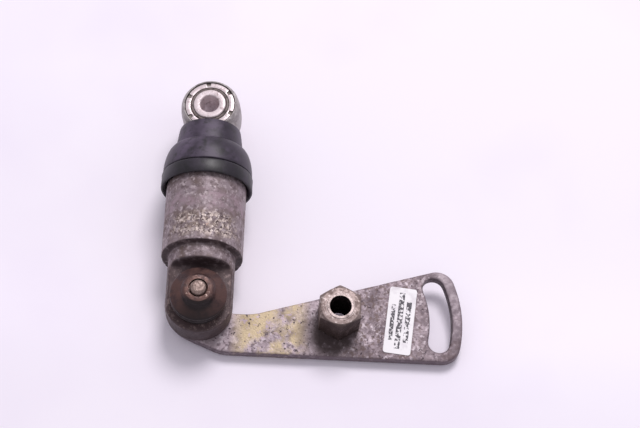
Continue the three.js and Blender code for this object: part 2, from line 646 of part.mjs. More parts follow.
function pivotGroup() {
  const group = new THREE.Group();
  const washerTop = LEVER_TOP_Z + THRUST_WASHER;
  const thrust = ring(PIN_RADIUS + FIT, LEVER_PIVOT_RADIUS - 2, LEVER_TOP_Z, washerTop);
  const lowDisc = TONGUE_TOP_Z + FIT;
  const meeting = lowDisc + DISC_CONE;
  const highDisc = meeting + DISC_THICKNESS + FIT;
  group.add(
    piece('pivot_pin', pivotPin(), 'brightSteel'),
    piece('pivot_thrust_washer', turnedAboutZ(thrust, MEDIUM_ROUND), 'bronze'),
    piece('pivot_disc_spring_lower', coneDisc(meeting, lowDisc), 'springSteel'),
    piece('pivot_disc_spring_upper', coneDisc(highDisc, highDisc + DISC_CONE), 'springSteel'),
    piece('pivot_seal_ring', pivotSealRing(), 'sealRubber'),
    piece('pivot_cap', pivotCap(), 'rustySteel'),
  );
  return group;
}

// ---------------------------------------------------------------- damper housing

// The body starts at the shoulder here; the neck is cut free under the foot afterwards.
function housingBody() {
  return [
    [0, SHOULDER_Y],
    [TONGUE_RADIUS - SHOULDER_EDGE, SHOULDER_Y],
    [HOUSING_RADIUS, SHOULDER_Y],
    [HOUSING_RADIUS, BODY_TOP_Y - HOUSING_EDGE],
    [HOUSING_RADIUS - HOUSING_EDGE, BODY_TOP_Y],
    [SPIGOT_RADIUS, BODY_TOP_Y],
    [SPIGOT_RADIUS, HOUSING_TOP_Y - HOUSING_EDGE / 2],
    [SPIGOT_RADIUS - HOUSING_EDGE / 2, HOUSING_TOP_Y],
    [CHAMBER_RADIUS, HOUSING_TOP_Y],
    [CHAMBER_RADIUS, CHAMBER_FLOOR_Y],
    [LINER_RADIUS + FIT, CHAMBER_FLOOR_Y],
    [LINER_RADIUS + FIT, CHAMBER_FLOOR_Y - LINER_SEAT_DEPTH],
    [0, CHAMBER_FLOOR_Y - LINER_SEAT_DEPTH],
  ];
}

// What is cut away round the neck, up to the leaning plane of the foot.
function neckRelief() {
  const reach = 3 * HOUSING_RADIUS;
  const below = new THREE.BoxGeometry(reach, reach, reach);
  below.translate(0, -reach / 2, 0).rotateX(radians(-FOOT_TILT)).translate(0, FOOT_Y, 0);
  const neck = turnedAboutY([
    [0, SHOULDER_Y - reach],
    [TONGUE_RADIUS - SHOULDER_EDGE, SHOULDER_Y - reach],
    [TONGUE_RADIUS - SHOULDER_EDGE, SHOULDER_Y],
    [TONGUE_RADIUS, SHOULDER_Y + SHOULDER_EDGE],
    [TONGUE_RADIUS, SHOULDER_Y + reach],
    [0, SHOULDER_Y + reach],
  ], LARGE_ROUND);
  return toSolid(below).subtract(toSolid(neck));
}

function tongue() {
  const inNeck = SHOULDER_Y + CUT_OVERRUN;
  const shape = new THREE.Shape();
  shape.absarc(0, 0, TONGUE_RADIUS, Math.PI, 2 * Math.PI, false);
  shape.lineTo(TONGUE_RADIUS, inNeck);
  shape.lineTo(-TONGUE_RADIUS, inNeck);
  shape.closePath();
  return plate(shape, TONGUE_BOTTOM_Z, TONGUE_THICKNESS, 0, LARGE_ROUND / 2);
}

// The hollow curve between a tongue flat and the shoulder. `side` is 1 above and -1 below.
function shoulderFillet(flatZ, side) {
  const r = SHOULDER_FILLET;
  const shape = new THREE.Shape();
  shape.moveTo(SHOULDER_Y - r, flatZ - side);
  shape.lineTo(SHOULDER_Y - r, flatZ);
  const turn = side > 0 ? [-Math.PI / 2, 0, false] : [Math.PI / 2, 0, true];
  shape.absarc(SHOULDER_Y - r, flatZ + side * r, r, ...turn);
  shape.lineTo(SHOULDER_Y + CUT_OVERRUN, flatZ + side * r);
  shape.lineTo(SHOULDER_Y + CUT_OVERRUN, flatZ - side);
  shape.closePath();
  const hollow = new THREE.ExtrudeGeometry(shape, {
    depth: 2 * TONGUE_RADIUS, bevelEnabled: false, curveSegments: 5,
  });
  // Profile axes (u, v, w) become (y, z, x).
  const turnToPlace = new THREE.Matrix4().makeBasis(
    new THREE.Vector3(0, 1, 0), new THREE.Vector3(0, 0, 1), new THREE.Vector3(1, 0, 0));
  return hollow.translate(0, 0, -TONGUE_RADIUS).applyMatrix4(turnToPlace);
}

function damperHousing() {
  const neckBar = bar(TONGUE_RADIUS, -TONGUE_RADIUS - CUT_OVERRUN, SHOULDER_Y + CUT_OVERRUN);
  const bore = bar(BUSH_OUTER_RADIUS + FIT, TONGUE_BOTTOM_Z - CUT_OVERRUN, TONGUE_TOP_Z + CUT_OVERRUN);
  const body = toSolid(turnedAboutY(housingBody(), LARGE_ROUND)).subtract(neckRelief());
  const solid = toSolid(tongue())
    .add(toSolid(shoulderFillet(TONGUE_TOP_Z, 1)))
    .add(toSolid(shoulderFillet(TONGUE_BOTTOM_Z, -1)))
    .intersect(toSolid(turnedAboutY(neckBar, LARGE_ROUND)))
    .add(body)
    .subtract(toSolid(turnedAboutZ(bore, MEDIUM_ROUND)));
  return toGeometry(solid);
}

function pressureCylinder() {
  return turnedAboutY([
    [LINER_BORE_RADIUS, LINER_BASE_Y],
    [LINER_RADIUS, LINER_BASE_Y],
    [LINER_RADIUS, LINER_TOP_Y - LINER_LIP],
    [LINER_RADIUS - LINER_LIP, LINER_TOP_Y],
    [LINER_BORE_RADIUS, LINER_TOP_Y],
  ], MEDIUM_ROUND);
}

// A U-section seal: two lips standing on a base.
function rodSeal(from) {
  const to = from + ROD_SEAL_HEIGHT;
  const inner = ROD_RADIUS + FIT;
  return turnedAboutY([
    [inner + FIT, from],
    [INSERT_RADIUS, from],
    [INSERT_RADIUS, to],
    [INSERT_RADIUS - ROD_SEAL_LIP, to],
    [INSERT_RADIUS - 1.5 * ROD_SEAL_LIP, from + ROD_SEAL_BASE],
    [inner + 1.5 * ROD_SEAL_LIP, from + ROD_SEAL_BASE],
    [inner + ROD_SEAL_LIP, to],
    [inner, to],
  ], MEDIUM_ROUND);
}

// A wire ring of round section.
function wireRing(radius, y) {
  const section = circlePoints({ x: radius, y }, SNAP_WIRE_RADIUS, WIRE_SIDES);
  return turnedAboutY(section.map((at) => [at.x, at.y]), MEDIUM_ROUND);
}

function housingGroup() {
  const group = new THREE.Group();
  const bush = ring(BUSH_INNER_RADIUS, BUSH_OUTER_RADIUS, TONGUE_BOTTOM_Z, TONGUE_TOP_Z);
  const guideTop = GUIDE_Y + GUIDE_HEIGHT;
  const guide = ring(ROD_RADIUS + FIT, INSERT_RADIUS, GUIDE_Y, guideTop);
  const sealTop = guideTop + FIT + ROD_SEAL_HEIGHT;
  const spring = coil(SPRING_COIL_RADIUS, SPRING_TURNS, SPRING_WIRE_RADIUS,
    CHAMBER_FLOOR_Y + FIT, STEM_FLANGE_Y - FIT);
  group.add(
    piece('damper_housing', damperHousing(), 'castAluminium'),
    piece('pivot_bush', turnedAboutZ(bush, MEDIUM_ROUND), 'bronze'),
    piece('pressure_cylinder', pressureCylinder(), 'brightSteel'),
    piece('rod_guide', turnedAboutY(guide, MEDIUM_ROUND), 'bronze'),
    piece('rod_seal', rodSeal(guideTop + FIT), 'sealRubber'),
    piece('guide_snap_ring',
      wireRing(INSERT_RADIUS - SNAP_WIRE_RADIUS, sealTop + FIT + SNAP_WIRE_RADIUS), 'springSteel'),
    piece('return_spring', spring, 'springSteel'),
  );
  return group;
}

// ---------------------------------------------------------------- rod, piston and check valve

function plungerRod() {
  const crossY = PISTON_TOP_Y + CROSS_DRILLING_ABOVE_PISTON;
  const drillingTop = crossY + OIL_DRILLING_RADIUS;
  const rod = toSolid(turnedAboutY([
    [0, drillingTop],
    [OIL_DRILLING_RADIUS, drillingTop],
    [OIL_DRILLING_RADIUS, PISTON_TOP_Y],
    [ROD_RADIUS, PISTON_TOP_Y],
    [ROD_RADIUS, ROD_TOP_Y - ROD_END_CHAMFER],
    [ROD_RADIUS - ROD_END_CHAMFER, ROD_TOP_Y],
    [0, ROD_TOP_Y],
  ], SMALL_ROUND));
  const drill = turnedAboutZ(bar(CROSS_DRILLING_RADIUS, -2 * ROD_RADIUS, 2 * ROD_RADIUS), DRILLING_ROUND);
  return toGeometry(rod.subtract(toSolid(drill.rotateY(Math.PI / 2).translate(0, crossY, 0))));
}

function piston() {
  return turnedAboutY([
    [VALVE_POCKET_RADIUS, PISTON_Y],
    [INSERT_RADIUS - PISTON_CHAMFER, PISTON_Y],
    [INSERT_RADIUS, PISTON_Y + PISTON_CHAMFER],
    [INSERT_RADIUS, PISTON_TOP_Y - PISTON_CHAMFER],
    [INSERT_RADIUS - PISTON_CHAMFER, PISTON_TOP_Y],
    [OIL_DRILLING_RADIUS, PISTON_TOP_Y],
    [OIL_DRILLING_RADIUS, VALVE_SEAT_Y],
    [VALVE_POCKET_RADIUS, VALVE_SEAT_Y - VALVE_SEAT_DROP],
  ], MEDIUM_ROUND);
}

// The ball hangs just under its conical seat.
function checkBall() {
  const ball = new THREE.SphereGeometry(BALL_RADIUS, SMALL_ROUND, SMALL_ROUND / 2);
  return welded(ball).translate(0, BALL_Y, 0);
}

function valveCage() {
  const radius = VALVE_POCKET_RADIUS - FIT;
  const hole = OIL_DRILLING_RADIUS;
  return turnedAboutY(ring(hole, radius, PISTON_Y, PISTON_Y + CAGE_HEIGHT), SMALL_ROUND);
}

// ---------------------------------------------------------------- upper eye

// The outside of the barrel, narrowing from its waist to its faces.
function eyeBarrel() {
  const shoulderRadius = EYE_FACE_RADIUS + 0.7 * EYE_DRAFT;
  const shoulder = 0.8 * EYE_HALF_WIDTH;
  const waist = 0.4 * EYE_HALF_WIDTH;
  return [
    [0, -EYE_HALF_WIDTH],
    [EYE_FACE_RADIUS, -EYE_HALF_WIDTH],
    [shoulderRadius, -shoulder],
    [EYE_RADIUS, -waist],
    [EYE_RADIUS, waist],
    [shoulderRadius, shoulder],
    [EYE_FACE_RADIUS, EYE_HALF_WIDTH],
    [0, EYE_HALF_WIDTH],
  ];
}

// The barrel's own axis is Z; the stem goes down the damper's axis, through the boot.
function upperEye() {
  const bootLipY = BOOT_TOP_Y + FIT;
  const barrel = turnedAboutZ(eyeBarrel(), LARGE_ROUND).translate(0, EYE_Y, 0);
  const cheeks = turnedAboutY([
    [0, bootLipY],
    [EYE_CHEEK_RADIUS, bootLipY],
    [EYE_CHEEK_RADIUS, EYE_Y - EYE_CHEEK_TAPER.height],
    [EYE_CHEEK_RADIUS - EYE_CHEEK_TAPER.radius, EYE_Y],
    [0, EYE_Y],
  ], LARGE_ROUND);
  const slab = new THREE.BoxGeometry(4 * EYE_RADIUS, 4 * EYE_RADIUS, 2 * EYE_HALF_WIDTH);
  slab.translate(0, EYE_Y, 0);
  const stem = turnedAboutY([
    [0, STEM_FLANGE_Y],
    [STEM_FLANGE_RADIUS, STEM_FLANGE_Y],
    [STEM_FLANGE_RADIUS, STEM_FLANGE_TOP_Y - STEM_FLANGE_EDGE],
    [STEM_FLANGE_RADIUS - STEM_FLANGE_EDGE, STEM_FLANGE_TOP_Y],
    [STEM_RADIUS, STEM_FLANGE_TOP_Y],
    [STEM_RADIUS, bootLipY + CUT_OVERRUN],
    [0, bootLipY + CUT_OVERRUN],
  ], LARGE_ROUND);
  const bootSeat = ring(STEM_RADIUS, 2 * EYE_RADIUS, STEM_FLANGE_TOP_Y, bootLipY);
  const rodSocket = bar(ROD_RADIUS + FIT, STEM_FLANGE_Y - CUT_OVERRUN, ROD_TOP_Y + FIT);
  const bore = bar(EYE_BORE_RADIUS, -2 * EYE_HALF_WIDTH, 2 * EYE_HALF_WIDTH);
  const solid = toSolid(barrel)
    .add(toSolid(cheeks).intersect(toSolid(slab)))
    .subtract(toSolid(turnedAboutY(bootSeat, LARGE_ROUND)))
    .add(toSolid(stem))
    .subtract(toSolid(turnedAboutY(rodSocket, SMALL_ROUND)))
    .subtract(toSolid(turnedAboutZ(bore, LARGE_ROUND).translate(0, EYE_Y, 0)));
  return toGeometry(solid);
}

// A push-on retaining ring: a flat ring whose outer edge is notched into teeth.
function starRing() {
  const shape = new THREE.Shape();
  const pitch = (2 * Math.PI) / STAR_TEETH;
  const halfOuter = Math.asin(STAR_NOTCH_WIDTH / 2 / STAR_OUTER_RADIUS);
  const root = STAR_OUTER_RADIUS - STAR_NOTCH_DEPTH;
  const halfRoot = Math.asin(STAR_NOTCH_WIDTH / 2 / root);
  for (let k = 0; k < STAR_TEETH; k += 1) {
    const notch = k * pitch + radians(STAR_TURN);
    shape.absarc(0, 0, root, notch - halfRoot, notch + halfRoot, false);
    shape.absarc(0, 0, STAR_OUTER_RADIUS, notch + halfOuter, notch + pitch - halfOuter, false);
  }
  shape.closePath();
  shape.holes.push(circleHole(PIVOT, STAR_INNER_RADIUS));
  return welded(plate(shape, 0, STAR_THICKNESS, 0, 3));
}

function eyeGroup() {
  const group = new THREE.Group();
  const pocket = EYE_POCKET_Z;
  const bushWall = ring(EYE_BUSH_BORE_RADIUS, EYE_BORE_RADIUS - FIT, -pocket, pocket);
  const sealWall = ring(EYE_BUSH_BORE_RADIUS, EYE_SEAL_RADIUS, 0, STAR_THICKNESS + FIT);
  const sleeve = ring(SLEEVE_BORE_RADIUS, SLEEVE_RADIUS, -SLEEVE_HALF_LENGTH, SLEEVE_HALF_LENGTH);
  group.position.y = EYE_Y;
  group.add(
    piece('eye_bush', turnedAboutZ(bushWall, MEDIUM_ROUND), 'polymer'),
    piece('eye_sleeve', turnedAboutZ(sleeve, MEDIUM_ROUND), 'brightSteel'),
  );
  for (const [end, turn] of [['front', 0], ['back', Math.PI]]) {
    const face = new THREE.Group();
    face.rotation.y = turn;
    const star = piece(`eye_star_ring_${end}`, starRing(), 'brightSteel');
    const seal = piece(`eye_seal_${end}`, turnedAboutZ(sealWall, MEDIUM_ROUND), 'sealRubber');
    star.position.z = pocket + RUNNING_GAP;
    seal.position.z = pocket + RUNNING_GAP;
    face.add(star, seal);
    group.add(face);
  }
  return group;
}

function plungerGroup() {
  const group = new THREE.Group();
  const eye = new THREE.Group();
  eye.rotation.y = radians(EYE_TWIST);
  eye.add(piece('upper_eye', upperEye(), 'castAluminium'), eyeGroup());
  group.add(
    eye,
    piece('plunger_rod', plungerRod(), 'brightSteel'),
    piece('piston', piston(), 'springSteel'),
    piece('check_ball', checkBall(), 'brightSteel'),
    piece('valve_cage', valveCage(), 'springSteel'),
  );
  return group;
}

// ---------------------------------------------------------------- dust boot

// A quarter ellipse from the fold up to the crease, moved inwards by `inset`.
function domePoints(inset) {
  const points = [];
  const spanR = BOOT_FOLD_RADIUS - BOOT_CREASE_RADIUS - inset;
  const spanY = BOOT_DOME_HEIGHT - inset;
  for (let k = 0; k <= DOME_STEPS; k += 1) {
    const angle = (k * Math.PI) / 2 / DOME_STEPS;
    points.push([
      BOOT_CREASE_RADIUS + spanR * Math.cos(angle),
      BOOT_FOLD_Y + spanY * Math.sin(angle),
    ]);
  }
  return points;
}

// Up the outside from the cuff, over the lip, and down the inside past the eye's flange.
function dustBoot() {
  const relief = STEM_RADIUS + BOOT_LIP_RELIEF;
  const liftedLip = BOOT_TOP_Y - BOOT_LIP_DEPTH;
  return turnedAboutY([
    [CUFF_BORE_RADIUS, CUFF_END_Y],
    [CUFF_RADIUS, CUFF_END_Y],
    [CUFF_RADIUS, BOOT_FOLD_Y],
    ...domePoints(0),
    [BOOT_TOP_RADIUS, BOOT_TOP_Y - BOOT_LIP_ROUNDING],
    [BOOT_TOP_RADIUS - BOOT_LIP_ROUNDING, BOOT_TOP_Y],
    [relief, BOOT_TOP_Y],
    [relief, liftedLip],
    [BOOT_SEAT_RADIUS, liftedLip],
    [BOOT_SEAT_RADIUS, STEM_FLANGE_TOP_Y + RUNNING_GAP],
    [STEM_FLANGE_RADIUS + RUNNING_GAP, STEM_FLANGE_TOP_Y + RUNNING_GAP],
    ...domePoints(BOOT_DOME_WALL).reverse().slice(1),
  ], LARGE_ROUND);
}

// The plain ring that carries the boot down over the housing; its upper step holds the boot's cuff.
function bootSkirt() {
  const top = BOOT_FOLD_Y - RUNNING_GAP;
  const step = CUFF_END_Y - FIT;
  return turnedAboutY([
    [SKIRT_RADIUS - SKIRT_LIP, SKIRT_RIM_Y],
    [SKIRT_RADIUS - SKIRT_EDGE / 2, SKIRT_RIM_Y],
    [SKIRT_RADIUS, SKIRT_RIM_Y + SKIRT_EDGE],
    [SKIRT_RADIUS, top - SKIRT_EDGE],
    [SKIRT_RADIUS - SKIRT_EDGE, top],
    [CUFF_RADIUS + FIT, top],
    [CUFF_RADIUS + FIT, step],
    [CUFF_BORE_RADIUS, step],
    [CUFF_BORE_RADIUS, SKIRT_RIM_Y + SKIRT_LIP],
  ], LARGE_ROUND);
}

// ---------------------------------------------------------------- the whole tensioner

const assembly = new THREE.Group();
assembly.add(
  leverGroup(),
  pivotGroup(),
  housingGroup(),
  plungerGroup(),
  piece('dust_boot', dustBoot(), 'rubber'),
  piece('boot_skirt', bootSkirt(), 'rubber'),
);

// The origin goes to the centre of the bottom of the whole box.
const box = new THREE.Box3().setFromObject(assembly, true);
const middle = box.getCenter(new THREE.Vector3());
assembly.position.set(-middle.x, -middle.y, -box.min.z);

const tensioner = new THREE.Group();
tensioner.add(assembly);

export default tensioner;
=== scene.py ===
"""Looks for a hydraulic belt tensioner strut on its slotted lever.

Every size is in metres in the part's own frame. Millimetres are used in profiles and tables, and
MM turns them to metres.
"""

import json
import math

import bmesh
import bpy
from bpy.props import FloatProperty, FloatVectorProperty, IntProperty, PointerProperty
from mathutils import Matrix, Vector, noise


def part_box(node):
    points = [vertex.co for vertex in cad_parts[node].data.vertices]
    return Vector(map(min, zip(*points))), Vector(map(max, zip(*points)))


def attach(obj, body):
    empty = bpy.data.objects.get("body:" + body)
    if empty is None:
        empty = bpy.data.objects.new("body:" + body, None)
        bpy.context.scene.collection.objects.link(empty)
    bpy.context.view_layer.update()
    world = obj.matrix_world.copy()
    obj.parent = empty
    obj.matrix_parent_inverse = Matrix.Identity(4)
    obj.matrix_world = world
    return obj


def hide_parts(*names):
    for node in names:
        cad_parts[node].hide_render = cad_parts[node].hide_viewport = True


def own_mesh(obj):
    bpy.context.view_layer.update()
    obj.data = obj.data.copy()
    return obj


bl_info = {
    "name": "Belt tensioner strut",
    "version": (1, 0, 0),
    "blender": (4, 5, 0),
    "location": "View3D > Sidebar > Tensioner",
    "description": "Builds the visible pieces and finishes of a belt tensioner strut",
    "category": "Object",
}

MM = 0.001
WELD = 0.001 * MM  # vertices nearer than this are one
X = Vector((1, 0, 0))
Y = Vector((0, 1, 0))
Z = Vector((0, 0, 1))

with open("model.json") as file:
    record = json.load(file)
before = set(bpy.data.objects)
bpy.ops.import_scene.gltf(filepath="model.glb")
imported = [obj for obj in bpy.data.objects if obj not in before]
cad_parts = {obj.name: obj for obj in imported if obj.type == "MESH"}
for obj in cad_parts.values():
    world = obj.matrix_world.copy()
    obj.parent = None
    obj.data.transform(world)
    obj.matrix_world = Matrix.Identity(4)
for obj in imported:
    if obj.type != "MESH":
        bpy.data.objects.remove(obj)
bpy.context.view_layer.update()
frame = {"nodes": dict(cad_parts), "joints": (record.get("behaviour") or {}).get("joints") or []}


def middle(node):
    """Centre of a CAD node's box."""
    low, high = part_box(node)
    return (low + high) / 2


def joint(name):
    """A CAD joint by its name."""
    return next(found for found in frame["joints"] if found["name"] == name)


# The pivot's axis at the height of the damper's own axis; profiles are measured from here.
ORIGIN = Vector((middle("pivot_pin").x, middle("pivot_pin").y, middle("boot_skirt").z))
NUT = Vector((middle("lever_nut").x, middle("lever_nut").y, ORIGIN.z))
EYE = middle("eye_sleeve")
EYE_AXIS = Vector(joint("sleeve_turn")["axis"]).normalized()

# Distances from the middle of the eye along its axis, in millimetres.
SLEEVE_END = 13.0
RING_BACK = 11.3
RING_FACE = 12.0


def from_origin(point):
    """A point of the part's frame, in millimetres from the pivot."""
    return (point - ORIGIN) / MM


def span(node, along):
    """The two ends of a CAD node along "x", "y" or "z", in millimetres from the pivot."""
    return [getattr(from_origin(corner), along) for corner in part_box(node)]


def radius_of(node):
    """Half of a CAD node's width, in millimetres."""
    low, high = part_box(node)
    return (high - low).x / 2 / MM


def linear(text):
    """An sRGB hex colour as linear red, green and blue."""
    channels = [int(text[i : i + 2], 16) / 255 for i in (1, 3, 5)]
    return [c / 12.92 if c <= 0.04045 else ((c + 0.055) / 1.055) ** 2.4 for c in channels]


def size(label, about, default, low, high):
    """A length property, given in millimetres."""
    return FloatProperty(
        name=label, description=about, default=default * MM, min=low * MM, max=high * MM,
        unit="LENGTH", precision=5,
    )


def tint(label, about, text):
    """A colour property, given as an sRGB hex value."""
    return FloatVectorProperty(
        name=label, description=about, default=linear(text), min=0, max=1, size=3, subtype="COLOR"
    )


# ---------------------------------------------------------------- sizes and colours to change


class TENSIONER_PG_lever(bpy.types.PropertyGroup):
    """The forged lever and its label."""

    grid: size("Mesh grid", "Spacing of the remeshed forging", 0.55, 0.3, 2)
    softening: IntProperty(
        name="Softening", description="Rounds of smoothing on its edges", default=3, min=0, max=10
    )
    pit_depth: size("Pit depth", "Depth of the corrosion pits", 0.22, 0, 1)
    steel: tint("Steel", "Weathered grey of the forging", "#aa9ba2")
    pits: tint("Pits", "Dark corrosion in the pits", "#40333a")
    paint: tint("Paint marker", "Old marker strokes on the steel", "#c0ae8e")
    paper: tint("Label", "Paper of the label", "#f5f3f5")


class TENSIONER_PG_nut(bpy.types.PropertyGroup):
    """The hexagon nut on the lever."""

    pitch: size("Thread pitch", "Distance between thread crests", 2.0, 0.5, 4)
    thread_depth: size("Thread depth", "Height of the thread in the bore", 0.5, 0.1, 1.5)
    steel: tint("Steel", "Weathered machined steel", "#887874")


class TENSIONER_PG_pivot(bpy.types.PropertyGroup):
    """The pivot pin and its cap."""

    nose_radius: size("Nose radius", "Radius of the pin's riveted nose", 4.2, 2, 6)
    crown_radius: size("Crown radius", "Radius of the cap's crown", 8.9, 7, 12)
    rust: tint("Rust", "Oily rust on the cap", "#523935")
    nose: tint("Nose", "Worn bright steel of the pin", "#8c7972")


class TENSIONER_PG_housing(bpy.types.PropertyGroup):
    """The cast damper housing."""

    grid: size("Mesh grid", "Spacing of the remeshed casting", 0.52, 0.4, 2)
    grain_depth: size("Grain depth", "Depth of the casting's surface grain", 0.1, 0, 0.5)
    groove_height: size(
        "Groove height", "Place of the fine turned line above the pivot", 57.6, 30, 70
    )
    metal: tint("Casting", "Grimy cast aluminium", "#8f8186")
    grime: tint("Grime", "Oil and brake dust in the hollows", "#45363a")


class TENSIONER_PG_boot(bpy.types.PropertyGroup):
    """The rubber dust boot and its skirt."""

    dome_height: size("Dome height", "From the fold up to the crease", 16.1, 8, 20)
    crease_radius: size("Crease radius", "Radius where the dome meets the neck", 19.1, 17, 22)
    neck_radius: size("Neck radius", "Radius of the neck at its lip", 17.4, 16, 19)
    rubber: tint("Rubber", "Black moulded rubber", "#2a2130")
    dust: tint("Dust", "Pale dust on the rubber", "#54485c")


class TENSIONER_PG_eye(bpy.types.PropertyGroup):
    """The upper eye with its sleeve, seals and star rings."""

    grid: size("Mesh grid", "Spacing of the remeshed casting", 0.5, 0.3, 2)
    sleeve_bore: size("Sleeve bore", "Bore radius of the steel sleeve", 5.4, 3, 8)
    sleeve_chamfer: size("Sleeve chamfer", "Chamfer at the sleeve's ends", 0.45, 0.1, 1)
    notch_turn: FloatProperty(
        name="Notch turn", description="Turn of the star rings", default=math.radians(36),
        subtype="ANGLE",
    )
    zinc: tint("Zinc", "Bright plated steel", "#dccfd1")
    metal: tint("Casting", "Cleaner cast aluminium of the eye", "#a39d9c")


class TENSIONER_PG_stage(bpy.types.PropertyGroup):
    """Floor, lights and camera."""

    floor: tint("Floor", "Pale floor", "#f7f2fb")
    sky: FloatProperty(
        name="Sky", description="Strength of the even light", default=0.6, min=0, max=1,
        subtype="FACTOR",
    )
    key_power: FloatProperty(
        name="Key power", description="Main soft light", default=24, min=0, unit="POWER"
    )


# ---------------------------------------------------------------- meshes


def new_piece(name, bm, body, material, stands_for=(), smooth_under=40.0):
    """Turns a bmesh into a piece with its finish, riding on a CAD body. Edges that turn by more
    than smooth_under degrees stay sharp."""
    mesh = bpy.data.meshes.new(name)
    bm.to_mesh(mesh)
    bm.free()
    mesh.shade_smooth()
    mesh.set_sharp_from_angle(angle=math.radians(smooth_under))
    mesh.materials.append(material)
    piece = bpy.data.objects.new(name, mesh)
    bpy.context.scene.collection.objects.link(piece)
    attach(piece, body)
    if stands_for:
        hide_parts(*stands_for)
    return piece


def spun(profile, centre, axis, across, steps=120):
    """A bmesh turned about an axis. The profile is (radius, along) in millimetres; it is closed up
    unless it starts on the axis."""
    bm = bmesh.new()
    verts = [
        bm.verts.new(centre + (axis * along + across * radius) * MM) for radius, along in profile
    ]
    pairs = list(zip(verts, verts[1:]))
    if profile[0][0] > 0:
        pairs.append((verts[-1], verts[0]))
    edges = [bm.edges.new(pair) for pair in pairs]
    bmesh.ops.spin(
        bm, geom=verts + edges, cent=centre, axis=axis, angle=2 * math.pi, steps=steps,
        use_merge=True,
    )
    bmesh.ops.remove_doubles(bm, verts=bm.verts, dist=WELD)
    bmesh.ops.recalc_face_normals(bm, faces=bm.faces)
    return bm


def round_corners(bm, width, least_angle=30.0, segments=3):
    """Bevels every edge that turns by more than least_angle degrees, `width` millimetres wide."""
    corners = [edge for edge in bm.edges if edge.calc_face_angle(0) > math.radians(least_angle)]
    bmesh.ops.bevel(
        bm, geom=corners, offset=width * MM, offset_type="OFFSET", affect="EDGES",
        segments=segments, profile=0.5, material=-1, clamp_overlap=True,
    )
    return bm


def merged_copy(node):
    """A CAD node's mesh as a bmesh with its loose triangles joined."""
    bm = bmesh.new()
    bm.from_mesh(frame["nodes"][node].data)
    bmesh.ops.remove_doubles(bm, verts=bm.verts, dist=WELD)
    return bm


def even_mesh(bm, grid, softening):
    """Remeshes a closed bmesh to an even grid and rounds its corners, as rough metal's are."""
    mesh = bpy.data.meshes.new("blank")
    bm.to_mesh(mesh)
    bm.free()
    blank = bpy.data.objects.new("blank", mesh)
    bpy.context.scene.collection.objects.link(blank)
    remesh = blank.modifiers.new("grid", "REMESH")
    remesh.mode = "VOXEL"
    remesh.voxel_size = grid
    graph = bpy.context.evaluated_depsgraph_get()
    even = bmesh.new()
    even.from_object(blank, graph)
    bpy.data.objects.remove(blank)
    for _ in range(softening):
        bmesh.ops.smooth_vert(
            even, verts=even.verts, factor=0.5, use_axis_x=True, use_axis_y=True, use_axis_z=True
        )
    return even


def sink(bm, depth_at):
    """Moves each vertex inwards by what depth_at says for its place and normal, in metres."""
    bm.normal_update()
    moves = [(vert, vert.normal.copy() * depth_at(vert.co, vert.normal)) for vert in bm.verts]
    for vert, move in moves:
        vert.co -= move


def grain(place, width, seed):
    """Soft noise from 0 to 1 whose lumps are about `width` millimetres wide."""
    return 0.5 + 0.5 * noise.noise(place / (width * MM) + Vector((seed, 0, 0)))


def step_up(value, low, high):
    """0 below low, 1 above high, smooth between."""
    t = min(max((value - low) / (high - low), 0), 1)
    return t * t * (3 - 2 * t)


# ---------------------------------------------------------------- materials

# A Mix node's colour sockets: two inputs and the result.
COLOUR_BELOW, COLOUR_ABOVE, COLOUR_OUT = 6, 7, 2


def add_node(tree, kind, inputs=None, **settings):
    """Adds a node. An input is a value, or the output socket to link to it."""
    made = tree.nodes.new(kind)
    for name, value in settings.items():
        setattr(made, name, value)
    for name, value in (inputs or {}).items():
        if isinstance(value, bpy.types.NodeSocket):
            tree.links.new(value, made.inputs[name])
        else:
            made.inputs[name].default_value = value
    return made


def rgba(colour):
    """A colour as four channels, from a hex value or a colour property."""
    return [*(linear(colour) if isinstance(colour, str) else colour), 1]


def begin(name):
    """A material with an empty tree, and its place and normal in the piece's own frame."""
    material = bpy.data.materials.new(name)
    material.use_nodes = True
    tree = material.node_tree
    tree.nodes.clear()
    spot = add_node(tree, "ShaderNodeTexCoord")
    return material, tree, spot.outputs["Object"], spot.outputs["Normal"]


def end(tree, colour, metallic, roughness, height, depth):
    """Closes a material with its shader and a bump of `depth` millimetres."""
    bump = add_node(tree, "ShaderNodeBump", {"Height": height, "Distance": depth * MM})
    inputs = {
        "Base Color": colour, "Metallic": metallic, "Roughness": roughness,
        "Normal": bump.outputs["Normal"],
    }
    shader = add_node(tree, "ShaderNodeBsdfPrincipled", inputs)
    add_node(tree, "ShaderNodeOutputMaterial", {"Surface": shader.outputs["BSDF"]})


def patches(tree, place, width, low, high, seed, within=None):
    """A mask of irregular patches about `width` millimetres wide, kept within another mask. They
    start where the noise passes `low` and are full at `high`."""
    lumps = add_node(
        tree, "ShaderNodeTexNoise",
        {"Vector": place, "W": seed, "Scale": 1 / (width * MM), "Detail": 3, "Roughness": 0.6},
        noise_dimensions="4D",
    )
    limits = {"Value": lumps.outputs["Fac"], "From Min": low, "From Max": high}
    mask = add_node(tree, "ShaderNodeMapRange", limits).outputs["Result"]
    return mask if within is None else both(tree, mask, within)


def fine_grain(tree, place, width, seed):
    """The small unevenness of a skin, for its bump."""
    return patches(tree, place, width, 0.3, 0.75, seed)


def stain(tree, place, below, above, width, low, high, seed, within=None):
    """Patches of one colour over another; gives the new colour and the patches' mask."""
    mask = patches(tree, place, width, low, high, seed, within)
    if not isinstance(below, bpy.types.NodeSocket):
        below = rgba(below)
    inputs = {0: mask, COLOUR_BELOW: below, COLOUR_ABOVE: rgba(above)}
    mixed = add_node(tree, "ShaderNodeMix", inputs, data_type="RGBA")
    return mixed.outputs[COLOUR_OUT], mask


